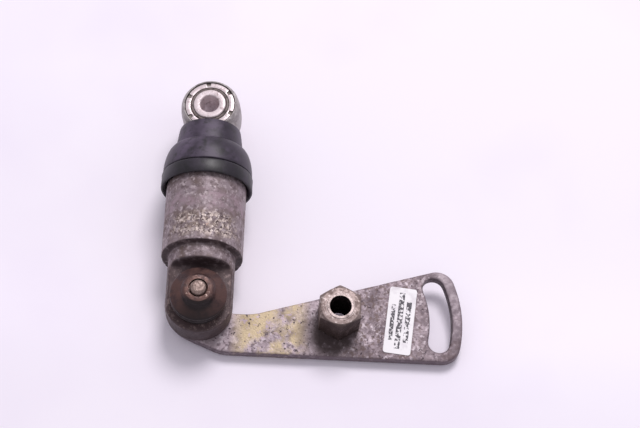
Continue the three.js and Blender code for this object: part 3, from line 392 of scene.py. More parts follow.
def stains(tree, place, colour, rows):
    """Lays stains over a colour in turn. A row has a stain's colour, its patches' width, low, high
    and seed, and the mask they are kept within, if any."""
    for row in rows:
        colour, _ = stain(tree, place, colour, *row)
    return colour


def from_axis(tree, place, centre, near, far):
    """A mask that is 1 within `near` millimetres of an upright axis and 0 beyond `far`."""
    level = {0: place, 1: (1, 1, 0)}
    flat = add_node(tree, "ShaderNodeVectorMath", level, operation="MULTIPLY")
    points = {0: flat.outputs[0], 1: (centre.x, centre.y, 0)}
    reach = add_node(tree, "ShaderNodeVectorMath", points, operation="DISTANCE").outputs["Value"]
    limits = {"Value": reach, "From Min": near * MM, "From Max": far * MM, "To Min": 1, "To Max": 0}
    return add_node(tree, "ShaderNodeMapRange", limits).outputs["Result"]


def between(tree, place, direction, start, stop):
    """A mask that rises from 0 to 1 between two distances along a direction, in millimetres from
    the pivot."""
    vectors = {0: place, 1: direction}
    along = add_node(tree, "ShaderNodeVectorMath", vectors, operation="DOT_PRODUCT")
    base = ORIGIN.dot(direction)
    limits = {
        "Value": along.outputs["Value"],
        "From Min": base + start * MM, "From Max": base + stop * MM,
    }
    return add_node(tree, "ShaderNodeMapRange", limits).outputs["Result"]


def stretch(tree, place, direction, start, full, fade, stop):
    """A mask of a stretch along a direction: it rises from start to full and falls from fade to
    stop, in millimetres from the pivot."""
    rise = between(tree, place, direction, start, full)
    return both(tree, rise, between(tree, place, direction, stop, fade))


def facing(tree, normal, direction, low, high):
    """A mask of the faces turned towards a direction; low and high are cosines."""
    vectors = {0: normal, 1: direction}
    turned = add_node(tree, "ShaderNodeVectorMath", vectors, operation="DOT_PRODUCT")
    limits = {"Value": turned.outputs["Value"], "From Min": low, "From Max": high}
    return add_node(tree, "ShaderNodeMapRange", limits).outputs["Result"]


def both(tree, first, second):
    """The overlap of two masks."""
    return add_node(tree, "ShaderNodeMath", {0: first, 1: second}, operation="MULTIPLY").outputs[0]


def roughness_from(tree, mask, bare, covered):
    """Roughness that goes from bare to covered by a mask."""
    limits = {"Value": mask, "To Min": bare, "To Max": covered}
    return add_node(tree, "ShaderNodeMapRange", limits).outputs["Result"]


def forged_steel(props):
    """Forged steel, weathered outdoors: grey scale, brown bloom and pits a millimetre or two wide,
    which break its gloss up into dull patches. Painted shade darkens the edges turned towards -Y,
    X and -X, and a painted shadow of the nut, with oil, darkens the plate below and left of it."""
    material, tree, place, normal = begin("forged_weathered_steel")
    marked = stretch(tree, place, X, 17, 25, 52, 61)
    rusty = stretch(tree, place, X, 70, 84, 112, 128)
    # Below and left of the nut, where its painted shadow lies on the oily plate.
    darkened_below = from_axis(tree, place, NUT + Vector((-3, -9, 0)) * MM, 9, 18)
    worn = both(tree, between(tree, place, X, 127, 133), between(tree, place, Y, -14, -4))
    end_rust = both(tree, between(tree, place, X, 126, 134), between(tree, place, Y, -6, -14))
    colour, bloom = stain(tree, place, props.steel, "#85767a", 8, 0.46, 0.66, 1.0)
    colour = stains(tree, place, colour, (
        ("#7c6e74", 5, 0.4, 0.58, 1.5, between(tree, place, X, 60, 75)),
        ("#6f6168", 2.6, 0.52, 0.62, 2.0),
        ("#c6bac0", 2.3, 0.55, 0.66, 3.0),
        (props.paint, 11, 0.36, 0.5, 4.0, marked),
        ("#bcaab4", 2.4, 0.56, 0.64, 4.5, marked),
        ("#6d5c5b", 2.6, 0.5, 0.6, 4.8, rusty),
        (props.pits, 1.7, 0.6, 0.66, 5.0),
        # Painted shadow of the nut on the plate, together with oil: darker below and left of the
        # nut.
        ("#453839", 5, 0.25, 0.52, 6.0, darkened_below),
        ("#a3979d", 5, 0.34, 0.56, 7.0, worn),
        ("#7b6e75", 3.5, 0.36, 0.56, 7.2, between(tree, place, X, 134, 139)),
        ("#66565a", 3, 0.4, 0.56, 7.5, end_rust),
        # Painted shade: the edges turned towards -Y, X and -X are darker.
        ("#66585f", 2.5, 0.2, 0.5, 8.0, facing(tree, normal, -Y, 0.3, 0.8)),
        ("#74676c", 2.5, 0.3, 0.5, 8.5, facing(tree, normal, X, 0.3, 0.8)),
        ("#50444a", 2.5, 0.1, 0.4, 8.8, facing(tree, normal, -X, 0.3, 0.8)),
    ))
    fine = fine_grain(tree, place, 0.8, 9.0)
    end(tree, colour, 0.3, roughness_from(tree, bloom, 0.45, 0.68), fine, 0.12)
    return material


def nut_steel(props):
    """Machined free-cutting steel gone dull: beige-grey flats with lighter worn corners, a bright
    land round the bore, and painted shade in the bore and on the flats turned towards -Y and -X."""
    material, tree, place, normal = begin("machined_weathered_steel")
    land = from_axis(tree, place, NUT, 7.6, 7.9)
    # The bore's walls, which get painted shade.
    inside = both(tree, land, facing(tree, normal, Z, 0.5, 0.2))
    colour, dull = stain(tree, place, props.steel, "#75645f", 3.5, 0.47, 0.6, 11.0)
    colour = stains(tree, place, colour, (
        ("#c3b6b3", 2.0, 0.56, 0.66, 12.0),
        # Painted shade: the flats turned towards -Y and -X are darker.
        ("#3d302e", 4, 0.1, 0.45, 12.5, facing(tree, normal, -Y, 0.2, 0.5)),
        ("#6e5d57", 3, 0.3, 0.6, 12.8, facing(tree, normal, -X, 0.4, 0.8)),
        ("#b9aaa6", 2, 0.3, 0.5, 13.0, land),
        # Painted shade in the bore: its walls are near black.
        ("#1d1819", 3, 0.1, 0.2, 14.0, inside),
        ("#3a2d2a", 1.3, 0.62, 0.68, 15.0),
    ))
    fine = fine_grain(tree, place, 0.6, 16.0)
    end(tree, colour, 0.4, roughness_from(tree, dull, 0.36, 0.6), fine, 0.06)
    return material


def oiled_dark_steel():
    """Steel under old oil: near black, with a soft wet gloss."""
    material, tree, place, _ = begin("oiled_dark_steel")
    colour, film = stain(tree, place, "#241d1f", "#4a3d3c", 1.5, 0.5, 0.65, 21.0)
    end(tree, colour, 0.6, roughness_from(tree, film, 0.3, 0.5), film, 0.03)
    return material


def rusted_cap(props):
    """Turned steel with oily brown rust: wet dark patches, dry brown bloom and bright chips, and
    painted shade on the faces turned towards -Y.
    """
    material, tree, place, normal = begin("rusted_oily_steel")
    near_nose = from_axis(tree, place, ORIGIN, 6, 8.6)
    colour, wet = stain(tree, place, props.rust, "#3a2829", 7, 0.46, 0.62, 31.0)
    colour = stains(tree, place, colour, (
        ("#5c4039", 3.5, 0.56, 0.7, 32.0),
        ("#6e4f47", 2.5, 0.4, 0.6, 32.8, near_nose),
        ("#d3b9ae", 1.2, 0.62, 0.67, 33.0, near_nose),
        # Painted shade: the faces turned towards -Y are darker.
        ("#1f1415", 4, 0.0, 0.3, 33.5, facing(tree, normal, -Y, 0.2, 0.6)),
    ))
    fine = fine_grain(tree, place, 0.9, 34.0)
    end(tree, colour, 0.35, roughness_from(tree, wet, 0.55, 0.3), fine, 0.12)
    return material


def worn_pin_steel(props):
    """The pin's riveted nose: bright steel with beige tarnish and a hammered skin."""
    material, tree, place, _ = begin("worn_pin_steel")
    colour, dull = stain(tree, place, props.nose, "#75625b", 1.6, 0.46, 0.6, 41.0)
    colour, _ = stain(tree, place, colour, "#b3a29a", 0.9, 0.58, 0.66, 42.0)
    end(tree, colour, 0.5, roughness_from(tree, dull, 0.34, 0.5), dull, 0.06)
    return material


def cast_aluminium(props):
    """Sand-cast aluminium, never painted: matt grey skin with grain about a millimetre wide, brown
    grime in its hollows, a paler worn band, knocked high spots and oil on its lower end. Painted
    shade darkens the faces turned towards -Y."""
    material, tree, place, normal = begin("cast_aluminium_housing")
    band = both(
        tree, stretch(tree, place, Y, 31, 34, 44, 47), stretch(tree, place, X, -18, -12, 15, 20)
    )
    band = both(tree, band, between(tree, place, Z, 5, 12))
    soft = stretch(tree, place, Y, 46, 51, 57, 61)
    darkened_below = between(tree, place, Y, 22, 16)
    knocked = both(tree, between(tree, place, Y, 2, -6), between(tree, place, X, -4, 3))
    colour, dull = stain(tree, place, props.metal, "#776869", 6, 0.46, 0.62, 51.0)
    colour = stains(tree, place, colour, (
        ("#6c5c58", 11, 0.5, 0.64, 52.0),
        ("#6b5c5f", 3.2, 0.52, 0.64, 52.5),
        ("#b3a6a9", 2.2, 0.54, 0.66, 53.0),
        (props.grime, 1.5, 0.61, 0.69, 54.0),
        ("#8a7a72", 3.5, 0.46, 0.6, 55.0, band),
        ("#cdbeb6", 2.3, 0.51, 0.6, 55.5, band),
        ("#e6dad2", 1.3, 0.6, 0.66, 55.55, band),
        ("#c9a998", 4.5, 0.62, 0.68, 55.6, band),
        ("#4a3b3a", 1.6, 0.54, 0.62, 55.8, band),
        ("#96828a", 5, 0.46, 0.62, 56.2, soft),
        ("#4f3f40", 4, 0.12, 0.4, 56.0, darkened_below),
        ("#7b6967", 2.0, 0.53, 0.64, 57.0, darkened_below),
        ("#b3a39a", 1.1, 0.6, 0.67, 57.2, knocked),
        # Painted shade: the faces turned towards -Y, the undersides of the foot and steps, are
        # darker.
        ("#3f3133", 3, 0.2, 0.5, 57.5, facing(tree, normal, -Y, 0.25, 0.7)),
    ))
    fine = fine_grain(tree, place, 0.9, 58.0)
    end(tree, colour, 0.25, roughness_from(tree, dull, 0.5, 0.66), fine, 0.1)
    return material


def cast_eye(props):
    """The same casting alloy kept cleaner by the boot: smooth pale grey, darker within 14.6 mm of
    the sleeve's axis, which shows as a dark ring just outside the star rings."""
    material, tree, place, _ = begin("cast_aluminium_eye")
    near_bush = from_axis(tree, place, EYE + EYE_AXIS * RING_FACE * MM, 13.9, 14.6)
    colour, dull = stain(tree, place, props.metal, "#8b8484", 6, 0.48, 0.64, 151.0)
    colour = stains(tree, place, colour, (
        ("#c9c4c3", 3, 0.56, 0.68, 152.0),
        ("#6a6263", 1.5, 0.62, 0.7, 153.0),
        # Darker within 14.6 mm of the sleeve's axis: a dark ring just outside the star rings.
        ("#2c2526", 3, 0.0, 0.3, 154.0, near_bush),
    ))
    fine = fine_grain(tree, place, 0.9, 155.0)
    end(tree, colour, 0.25, roughness_from(tree, dull, 0.42, 0.6), fine, 0.06)
    return material


def plated_zinc(props):
    """Zinc-plated steel: near white and bright, with faint grey handling marks."""
    material, tree, place, _ = begin("zinc_plated_steel")
    colour, marks = stain(tree, place, props.zinc, "#a99a9b", 2.4, 0.52, 0.68, 61.0)
    colour, _ = stain(tree, place, colour, "#efe6e9", 1.2, 0.56, 0.66, 62.0)
    end(tree, colour, 0.3, roughness_from(tree, marks, 0.28, 0.42), marks, 0.03)
    return material


def boot_rubber(props):
    """Moulded chloroprene rubber: satin black, handled and a little dusty, with a soft gloss, and
    painted shade below the fold.
    """
    material, tree, place, _ = begin("moulded_chloroprene_rubber")
    # Painted shade below the fold: the rubber is darker under 76.5 mm from the pivot.
    painted_shade_below_fold = between(tree, place, Y, 78, 76.5)
    colour, dusty = stain(tree, place, props.rubber, props.dust, 14, 0.44, 0.68, 71.0)
    colour, _ = stain(tree, place, colour, "#1c171f", 5, 0.5, 0.68, 72.0)
    colour, _ = stain(tree, place, colour, "#0e0a12", 9, 0.1, 0.6, 72.5, painted_shade_below_fold)
    fine = fine_grain(tree, place, 0.7, 73.0)
    end(tree, colour, 0, roughness_from(tree, dusty, 0.4, 0.56), fine, 0.025)
    return material


def seal_rubber(name="nitrile_seal_rubber", colour="#1e1a1b", film_colour="#332c2b"):
    """Nitrile seal rubber: dull near-black with a film of oil, or brown where it holds dust."""
    material, tree, place, _ = begin(name)
    colour, film = stain(tree, place, colour, film_colour, 2.5, 0.48, 0.64, 81.0)
    end(tree, colour, 0, roughness_from(tree, film, 0.42, 0.62), film, 0.03)
    return material


def spring_steel():
    """Hardened spring steel, blued and oiled."""
    material, tree, place, _ = begin("oiled_spring_steel")
    colour, film = stain(tree, place, "#4a4d54", "#33312f", 4, 0.48, 0.6, 91.0)
    end(tree, colour, 0.9, roughness_from(tree, film, 0.3, 0.45), film, 0.02)
    return material


def ground_steel():
    """Ground and hardened steel: bright, smooth, with a light oil film."""
    material, tree, place, _ = begin("ground_hardened_steel")
    colour, film = stain(tree, place, "#c8c4c3", "#a39c99", 5, 0.5, 0.64, 101.0)
    end(tree, colour, 1, roughness_from(tree, film, 0.16, 0.28), film, 0.01)
    return material


def sintered_bronze():
    """Sintered bronze: brown-gold with fine open pores that hold oil."""
    material, tree, place, _ = begin("sintered_bronze")
    colour, pores = stain(tree, place, "#8f6d40", "#4d3a22", 0.6, 0.56, 0.66, 111.0)
    end(tree, colour, 0.9, roughness_from(tree, pores, 0.38, 0.55), pores, 0.03)
    return material


def bush_polymer():
    """Moulded acetal bush: off-white, greyed by wear."""
    material, tree, place, _ = begin("moulded_acetal")
    colour, worn = stain(tree, place, "#8f867f", "#6f665f", 3, 0.5, 0.64, 121.0)
    end(tree, colour, 0, roughness_from(tree, worn, 0.4, 0.55), worn, 0.02)
    return material


def label_paper(props):
    """Coated label paper, slightly soiled, with rows of blank generic print about 3 mm high."""
    material, tree, place, _ = begin("coated_label_paper")
    sheet = middle("label_sticker")
    frame_of_label = {
        "Vector": place, "Location": sheet, "Rotation": (0, 0, math.radians(-6)),
        "Scale": (MM,) * 3,
    }
    mapping = add_node(tree, "ShaderNodeMapping", frame_of_label, vector_type="TEXTURE")
    spot = mapping.outputs["Vector"]
    parts = add_node(tree, "ShaderNodeSeparateXYZ", {"Vector": spot})

    # Each row's place across the label, height, centre along it and length, in millimetres.
    printed = ((-4.4, 2.2, -1.5, 21), (-0.3, 3.0, 0, 33), (4.0, 2.8, -0.5, 24))
    rows = None
    for across, height, centre, length in printed:
        over_height = {0: parts.outputs["X"], 1: across, 2: height / 2}
        over_length = {0: parts.outputs["Y"], 1: centre, 2: length / 2}
        line = add_node(tree, "ShaderNodeMath", over_height, operation="COMPARE")
        run = add_node(tree, "ShaderNodeMath", over_length, operation="COMPARE")
        row = both(tree, line.outputs[0], run.outputs[0])
        if rows is not None:
            row = add_node(tree, "ShaderNodeMath", {0: rows, 1: row}, operation="ADD").outputs[0]
        rows = row
    colour, _ = stain(tree, place, props.paper, "#dcd6dc", 7, 0.52, 0.7, 131.0)
    colour, ink = stain(tree, place, colour, "#4a474e", 1.35, 0.45, 0.5, 132.0, rows)
    end(tree, colour, 0, 0.55, ink, 0.01)
    return material


# ---------------------------------------------------------------- pieces


def dress(node, material):
    """Gives a CAD node its finish."""
    data = frame["nodes"][node].data
    data.materials.clear()
    data.materials.append(material)


class TENSIONER_OT_lever(bpy.types.Operator):
    """Build the forged lever plate and finish its label"""

    bl_idname = "tensioner.lever"
    bl_label = "Lever"

    def execute(self, context):
        props = context.scene.tensioner_lever
        bm = even_mesh(merged_copy("lever_plate"), props.grid, props.softening)

        def depth(place, normal):
            # Pits on the two flat sides only, and a gentle unevenness all over.
            pits = step_up(grain(place, width=1.9, seed=5), 0.68, 0.86) * props.pit_depth
            scale = grain(place, width=5, seed=9) * 0.1 * MM
            on_flat_side = abs(normal.z) > 0.5
            return pits + scale if on_flat_side else scale

        sink(bm, depth)
        steel = forged_steel(props)
        new_piece("forged_lever", bm, "lever", steel, ["lever_plate"], 75)
        dress("label_sticker", label_paper(props))
        return {"FINISHED"}


class TENSIONER_OT_nut(bpy.types.Operator):
    """Build the hexagon nut and the thread in its bore"""

    bl_idname = "tensioner.nut"
    bl_label = "Nut"

    def execute(self, context):
        props = context.scene.tensioner_nut
        bm = merged_copy("lever_nut")
        flat = math.radians(3)
        bmesh.ops.dissolve_limit(bm, angle_limit=flat, verts=bm.verts, edges=bm.edges)
        round_corners(bm, 0.3, least_angle=24, segments=2)
        steel = nut_steel(props)
        new_piece("hexagon_nut", bm, "lever", steel, ["lever_nut"], 14)

        # The thread's section is swept up the bore, with its root just inside the nut's steel.
        # It starts 0.3 of a pitch up and leaves a pitch and a half free in all.
        bore = 5.9
        root = bore + 0.1
        flank = 0.42
        steps = 36
        pitch = props.pitch
        depth = props.thread_depth / MM
        low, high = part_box("lever_nut")
        turns = int((high.z - low.z - 1.5 * pitch) / pitch)
        base = NUT.copy()
        base.z = low.z + 0.3 * pitch
        bm = bmesh.new()
        section = [
            (root, 0.0), (root - depth, flank * pitch / MM), (root, 2 * flank * pitch / MM),
        ]
        verts = [bm.verts.new(base + (X * radius + Z * along) * MM) for radius, along in section]
        edges = [bm.edges.new(pair) for pair in zip(verts, verts[1:] + verts[:1])]
        bmesh.ops.spin(
            bm, geom=verts + edges, cent=base, axis=Z, dvec=Z * (pitch / steps),
            angle=turns * 2 * math.pi, steps=turns * steps,
        )
        open_ends = [edge for edge in bm.edges if edge.is_boundary]
        bmesh.ops.holes_fill(bm, edges=open_ends, sides=4)
        bmesh.ops.recalc_face_normals(bm, faces=bm.faces)
        new_piece("nut_thread", bm, "lever", oiled_dark_steel())
        return {"FINISHED"}


class TENSIONER_OT_pivot(bpy.types.Operator):
    """Build the pivot pin, its cap and the seal under the cap"""

    bl_idname = "tensioner.pivot"
    bl_label = "Pivot"

    def execute(self, context):
        props = context.scene.tensioner_pivot
        nose = props.nose_radius / MM
        crown = props.crown_radius / MM
        foot, tip = span("pivot_pin", "z")
        base, top = span("pivot_cap", "z")
        head = radius_of("pivot_pin")
        rim = radius_of("pivot_cap")
        shank = nose + 1.8

        pin = [
            (0, foot), (head - 0.6, foot), (head, foot + 0.6), (head, foot + 3), (shank, foot + 3),
            (shank, top - 3.5), (nose, top - 3.5), (nose, tip - 1.1), (nose - 0.3, tip - 0.5),
            (nose - 1.0, tip - 0.12), (nose - 1.8, tip), (0, tip - 0.15),
        ]
        bm = round_corners(spun(pin, ORIGIN, Z, Y, steps=72), 0.15)
        steel = worn_pin_steel(props)
        new_piece("pivot_pin_worn", bm, "lever", steel, ["pivot_pin"])

        brim = base + 4
        cap = [
            (rim - 1.8, base), (rim, base), (rim, base + 1.5), (rim - 0.5, base + 1.9),
            (rim - 0.5, base + 2.4), (rim, base + 2.8), (rim, brim), (rim - 0.8, brim + 0.8),
            (crown + 2.4, brim + 2.3), (crown + 0.8, brim + 3.5), (crown + 0.2, brim + 5),
            (crown, top - 1.6), (crown - 1.3, top - 0.3), (nose + 0.8, top),
            (nose + 0.8, top - 1.5), (nose + 0.2, top - 1.5), (nose + 0.2, top - 3.3),
            (shank + 0.2, top - 3.3), (shank + 0.2, brim), (rim - 1.8, brim - 1.8),
        ]
        bm = round_corners(spun(cap, ORIGIN, Z, Y, steps=96), 0.35, least_angle=28)
        many_sided = [face for face in bm.faces if len(face.verts) > 4]
        bmesh.ops.triangulate(bm, faces=many_sided)
        sink(bm, lambda place, _: grain(place, width=2.2, seed=4) * 0.16 * MM)
        steel = rusted_cap(props)
        new_piece("pivot_cap_rusted", bm, "lever", steel, ["pivot_cap"])

        low, high = span("pivot_seal_ring", "z")
        outer = rim - 1.1
        seal = [
            (outer - 1.3, low), (outer, low), (outer, low + 0.9), (outer - 0.35, (low + high) / 2),
            (outer, high - 0.9), (outer, high), (outer - 1.3, high),
        ]
        bm = round_corners(spun(seal, ORIGIN, Z, Y, steps=96), 0.15)
        new_piece("pivot_seal", bm, "lever", seal_rubber(), ["pivot_seal_ring"])
        return {"FINISHED"}


class TENSIONER_OT_housing(bpy.types.Operator):
    """Build the cast damper housing"""

    bl_idname = "tensioner.housing"
    bl_label = "Housing"

    def execute(self, context):
        props = context.scene.tensioner_housing
        groove = props.groove_height / MM
        bm = even_mesh(merged_copy("damper_housing"), props.grid, softening=2)

        # A fine turned line and a band of shallow cast marks, on the outer skin only.
        line_depth, line_width = 0.22, 0.5
        mark_depth = 0.3

        def depth(place, _):
            at = from_origin(place)
            outside = step_up(math.hypot(at.x, at.z), 20.5, 21.5)
            line = line_depth * math.exp(-(((at.y - groove) / line_width) ** 2)) * outside
            band = step_up(at.y, 32.5, 34) * step_up(-at.y, -45.5, -44)
            marks = band * step_up(at.z, 8, 12) * outside
            marks *= step_up(grain(place, width=1.5, seed=12), 0.45, 0.62) * mark_depth
            return (line + marks) * MM + grain(place, width=1.7, seed=7) * props.grain_depth

        sink(bm, depth)
        metal = cast_aluminium(props)
        new_piece(
            "cast_housing", bm, "housing", metal, ["damper_housing"], 75
        )
        return {"FINISHED"}


class TENSIONER_OT_boot(bpy.types.Operator):
    """Build the dust boot and the skirt below it"""

    bl_idname = "tensioner.boot"
    bl_label = "Boot"

    def execute(self, context):
        props = context.scene.tensioner_boot
        cuff, lip = span("dust_boot", "y")
        rim, step = span("boot_skirt", "y")
        fold_radius = radius_of("dust_boot")
        skirt_radius = radius_of("boot_skirt")
        inside = skirt_radius - 2.6
        fold = step + 0.3
        crease = fold + props.dome_height / MM
        waist = props.crease_radius / MM
        neck = props.neck_radius / MM
        rubber = boot_rubber(props)

        # The dome is a quarter of an ellipse; its inner side is flatter and 2 mm lower.
        dome = []
        arc = 15
        for k in range(1, arc):
            angle = math.pi / 2 * k / arc
            radius = waist + (fold_radius - waist) * math.cos(angle)
            dome.append((radius, fold + (crease - fold) * math.sin(angle)))
        inner = [(waist + (r - waist) * 0.72, y - 2.0) for r, y in reversed(dome[2:])]
        boot = [
            (inside, cuff), (skirt_radius - 1.6, cuff), (skirt_radius - 1.6, fold),
            (fold_radius - 0.4, fold), (fold_radius, fold + 0.5), *dome[1:],
            (waist - 0.05, crease + 0.15), (waist - 0.1, crease + 1.4), (neck + 1.0, crease + 5),
            (neck + 0.5, crease + 9), (neck, lip - 0.9), (neck - 0.25, lip - 0.25),
            (neck - 0.7, lip), (neck - 2.5, lip), (neck - 2.5, lip - 4), (neck - 3.3, lip - 4),
            (neck - 3.3, crease - 2.3), (neck - 0.9, crease - 2.3), *inner[1:],
            (inside, fold + 0.8),
        ]
        bm = round_corners(spun(boot, ORIGIN, Y, X), 0.22, least_angle=34)
        new_piece("dust_boot_moulded", bm, "boot", rubber, ["dust_boot"], 50)

        skirt = [
            (skirt_radius - 1.2, rim), (skirt_radius - 0.3, rim), (skirt_radius, rim + 0.7),
            (skirt_radius - 0.12, (rim + step) / 2), (skirt_radius, step - 1.2),
            (skirt_radius - 0.35, step - 0.3), (skirt_radius - 0.9, step),
            (skirt_radius - 1.4, step), (skirt_radius - 1.4, cuff - 0.2), (inside, cuff - 0.2),
            (inside, rim + 1.2),
        ]
        bm = round_corners(spun(skirt, ORIGIN, Y, X), 0.2, least_angle=34)
        new_piece("boot_skirt_moulded", bm, "boot", rubber, ["boot_skirt"], 50)
        return {"FINISHED"}


class TENSIONER_OT_eye(bpy.types.Operator):
    """Build the upper eye, its sleeve, seals and star rings"""

    bl_idname = "tensioner.eye"
    bl_label = "Upper eye"

    def execute(self, context):
        props = context.scene.tensioner_eye
        grain_depth = context.scene.tensioner_housing.grain_depth
        bm = even_mesh(merged_copy("upper_eye"), props.grid, softening=2)
        sink(bm, lambda place, _: grain(place, width=1.7, seed=2) * grain_depth)
        metal = cast_eye(props)
        new_piece("cast_eye", bm, "plunger", metal, ["upper_eye"], 75)

        zinc = plated_zinc(props)
        wall = 3.7
        bore = props.sleeve_bore / MM
        outer = bore + wall
        edge = props.sleeve_chamfer / MM
        sleeve = [
            (bore, -SLEEVE_END + edge), (bore + edge, -SLEEVE_END), (outer - edge, -SLEEVE_END),
            (outer, -SLEEVE_END + edge), (outer, SLEEVE_END - edge), (outer - edge, SLEEVE_END),
            (bore + edge, SLEEVE_END), (bore, SLEEVE_END - edge),
        ]
        bm = round_corners(spun(sleeve, EYE, EYE_AXIS, Y, steps=96), 0.1)
        new_piece("sleeve_plated", bm, "sleeve", zinc, ["eye_sleeve"])

        rubber = seal_rubber("dusty_seal_rubber", "#6a5d5a", "#3b3231")
        seal = [
            (outer + 0.3, RING_BACK), (outer + 1.6, RING_BACK), (outer + 1.6, RING_FACE),
            (outer + 1.1, 12.2), (outer + 0.3, 12.1),
        ]
        for end_name, axis in (("front", EYE_AXIS), ("back", -EYE_AXIS)):
            bm = round_corners(spun(seal, EYE, axis, Y, steps=96), 0.1)
            stands_for = [f"eye_seal_{end_name}"]
            new_piece(f"seal_{end_name}", bm, "plunger", rubber, stands_for)

            bm = self.star_ring(axis, outer + 2.0, outer + 4.7, props.notch_turn)
            stands_for = [f"eye_star_ring_{end_name}"]
            new_piece(f"star_ring_{end_name}", bm, "plunger", zinc, stands_for)
        return {"FINISHED"}

    @staticmethod
    def star_ring(axis, inner, outer, turn):
        """A flat ring with six notches in its outer edge, dished a little towards the teeth."""
        half_width, notch_depth = 1.3, 1.9
        profile = [
            (inner, RING_BACK), (outer, RING_BACK), (outer, RING_FACE - 0.1), (inner, RING_FACE),
        ]
        bm = spun(profile, EYE, axis, Y, steps=240)
        across = Y.cross(axis)
        half_notch = math.asin(half_width / outer)
        sixth = math.pi / 3
        deep = []
        for vert in bm.verts:
            offset = vert.co - EYE
            radial = offset - axis * offset.dot(axis)
            angle = math.atan2(radial.dot(Y), radial.dot(across)) - turn
            nearest = abs((angle + sixth / 2) % sixth - sixth / 2)
            if nearest < half_notch and radial.length > (outer - 0.5) * MM:
                deep.append((vert, radial.normalized() * notch_depth * MM))
        for vert, move in deep:
            vert.co -= move
        return round_corners(bm, 0.08, least_angle=40, segments=2)


class TENSIONER_OT_inside(bpy.types.Operator):
    """Finish the pieces inside the damper, the pivot and the eye"""

    bl_idname = "tensioner.inside"
    bl_label = "Inner pieces"

    def execute(self, context):
        sprung = spring_steel()
        finishes = {
            sprung: (
                "guide_snap_ring", "pivot_disc_spring_lower", "pivot_disc_spring_upper", "piston",
                "valve_cage",
            ),
            ground_steel(): ("plunger_rod", "pressure_cylinder", "check_ball"),
            sintered_bronze(): ("pivot_thrust_washer", "pivot_bush", "rod_guide"),
            seal_rubber(): ("rod_seal",),
            bush_polymer(): ("eye_bush",),
        }
        for material, nodes in finishes.items():
            for node in nodes:
                dress(node, material)

        bm = merged_copy("return_spring")
        spring = new_piece(
            "coil_spring", bm, "housing", sprung, ["return_spring"], 70
        )
        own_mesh(spring)
        return {"FINISHED"}


# Points of the backdrop, as the place along the damper and the height, and half its width, all in
# millimetres from the pivot.
BACKDROP = (
    (-3000, -14), (-200, -14), (-60, -14), (-40, -14.05), (-25, -14.4), (-10, -16.2), (6, -19.4),
    (22, -22.6), (38, -24.4), (52, -25.3), (66, -25.7), (90, -25.8), (200, -25.8), (3000, -25.8),
)
REACH = 3000

# The key lamp and the camera, from the pivot; the camera's turns are in radians.
LAMP_PLACE = Vector((0.35, 1.15, 1.7))
LAMP_SIZE = 0.9
CAMERA_PLACE = Vector((30.518, -298.521, 732.651)) * MM
CAMERA_PITCH, CAMERA_YAW, CAMERA_ROLL = 0.453, -0.041, 0.05
CAMERA_LENS = 82.09
CAMERA_SENSOR = 36


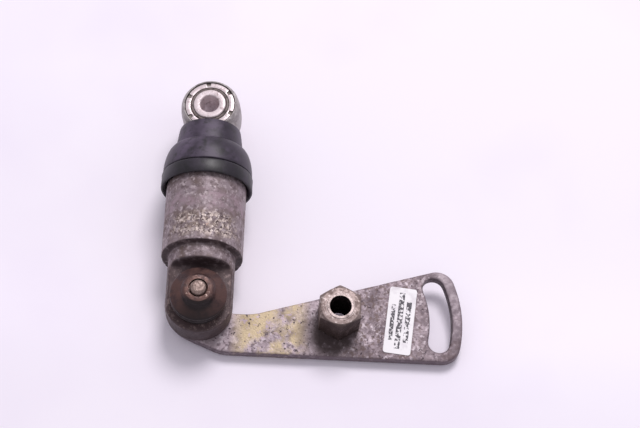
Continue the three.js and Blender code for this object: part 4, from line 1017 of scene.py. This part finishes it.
class TENSIONER_OT_stage(bpy.types.Operator):
    """Set the floor, the lights and the camera"""

    bl_idname = "tensioner.stage"
    bl_label = "Stage"

    def execute(self, context):
        props = context.scene.tensioner_stage
        scene = context.scene
        scene.view_settings.view_transform = "Standard"

        # The damper reaches lower than the lever does, so the sheet of backdrop under them dips
        # from the lever to the damper.
        bm = bmesh.new()
        sheet = [bm.verts.new(ORIGIN + Vector((-REACH, y, z)) * MM) for y, z in BACKDROP]
        strip = [bm.edges.new(pair) for pair in zip(sheet, sheet[1:])]
        grown = bmesh.ops.extrude_edge_only(bm, edges=strip)["geom"]
        grown = [part for part in grown if isinstance(part, bmesh.types.BMVert)]
        bmesh.ops.translate(bm, verts=grown, vec=X * 2 * REACH * MM)
        bmesh.ops.recalc_face_normals(bm, faces=bm.faces)
        if sum(face.normal.z for face in bm.faces) < 0:
            bmesh.ops.reverse_faces(bm, faces=bm.faces)
        mesh = bpy.data.meshes.new("floor")
        bm.to_mesh(mesh)
        bm.free()
        mesh.shade_smooth()
        floor = bpy.data.objects.new("floor", mesh)
        scene.collection.objects.link(floor)
        material, tree, place, _ = begin("painted_board")
        colour, tone = stain(tree, place, props.floor, "#f2ecf8", 160, 0.45, 0.65, 141.0)
        end(tree, colour, 0, 0.75, tone, 0.01)
        mesh.materials.append(material)

        world = bpy.data.worlds.new("soft_studio")
        world.use_nodes = True
        sky = world.node_tree.nodes["Background"]
        sky.inputs["Color"].default_value = rgba("#fbf7ff")
        sky.inputs["Strength"].default_value = props.sky
        scene.world = world

        key = bpy.data.lights.new("key", "AREA")
        key.shape = "DISK"
        key.size = LAMP_SIZE
        key.energy = props.key_power
        key.color = linear("#fffafd")
        lamp = bpy.data.objects.new("key", key)
        lamp.location = ORIGIN + LAMP_PLACE
        lamp.rotation_mode = "QUATERNION"
        lamp.rotation_quaternion = (lamp.location - ORIGIN).to_track_quat("Z", "Y")
        scene.collection.objects.link(lamp)

        camera = bpy.data.cameras.new("camera")
        camera.lens = CAMERA_LENS
        camera.sensor_width = CAMERA_SENSOR
        camera.clip_start = 0.05
        camera.clip_end = 20
        eye = bpy.data.objects.new("camera", camera)
        pitch = Matrix.Rotation(CAMERA_PITCH, 4, "X")
        yaw = Matrix.Rotation(CAMERA_YAW, 4, "Y")
        roll = Matrix.Rotation(CAMERA_ROLL, 4, "Z")
        aim = pitch @ yaw @ roll
        eye.matrix_world = Matrix.Translation(ORIGIN + CAMERA_PLACE) @ aim
        scene.collection.objects.link(eye)
        scene.camera = eye
        return {"FINISHED"}


class TENSIONER_PT_panel(bpy.types.Panel):
    """Sizes, colours and build steps of the tensioner strut"""

    bl_idname = "TENSIONER_PT_panel"
    bl_label = "Belt tensioner strut"
    bl_space_type = "VIEW_3D"
    bl_region_type = "UI"
    bl_category = "Tensioner"

    def draw(self, context):
        for step in STEPS:
            box = self.layout.box()
            box.operator(step.bl_idname)
            props = getattr(context.scene, step.bl_idname.replace(".", "_"), None)
            if props is not None:
                for name in props.bl_rna.properties.keys():
                    if name not in ("rna_type", "name"):
                        box.prop(props, name)


STEPS = (
    TENSIONER_OT_lever,
    TENSIONER_OT_nut,
    TENSIONER_OT_pivot,
    TENSIONER_OT_housing,
    TENSIONER_OT_boot,
    TENSIONER_OT_eye,
    TENSIONER_OT_inside,
    TENSIONER_OT_stage,
)

GROUPS = {
    "tensioner_lever": TENSIONER_PG_lever,
    "tensioner_nut": TENSIONER_PG_nut,
    "tensioner_pivot": TENSIONER_PG_pivot,
    "tensioner_housing": TENSIONER_PG_housing,
    "tensioner_boot": TENSIONER_PG_boot,
    "tensioner_eye": TENSIONER_PG_eye,
    "tensioner_stage": TENSIONER_PG_stage,
}


def register():
    for name, group in GROUPS.items():
        bpy.utils.register_class(group)
        setattr(bpy.types.Scene, name, PointerProperty(type=group))
    for kind in (*STEPS, TENSIONER_PT_panel):
        bpy.utils.register_class(kind)


def unregister():
    for kind in reversed((*STEPS, TENSIONER_PT_panel)):
        bpy.utils.unregister_class(kind)
    for name, group in reversed(GROUPS.items()):
        delattr(bpy.types.Scene, name)
        bpy.utils.unregister_class(group)


def main():
    """Builds everything in order."""
    register()
    for step in STEPS:
        group, name = step.bl_idname.split(".")
        getattr(getattr(bpy.ops, group), name)()


if __name__ == "__main__":
    main()
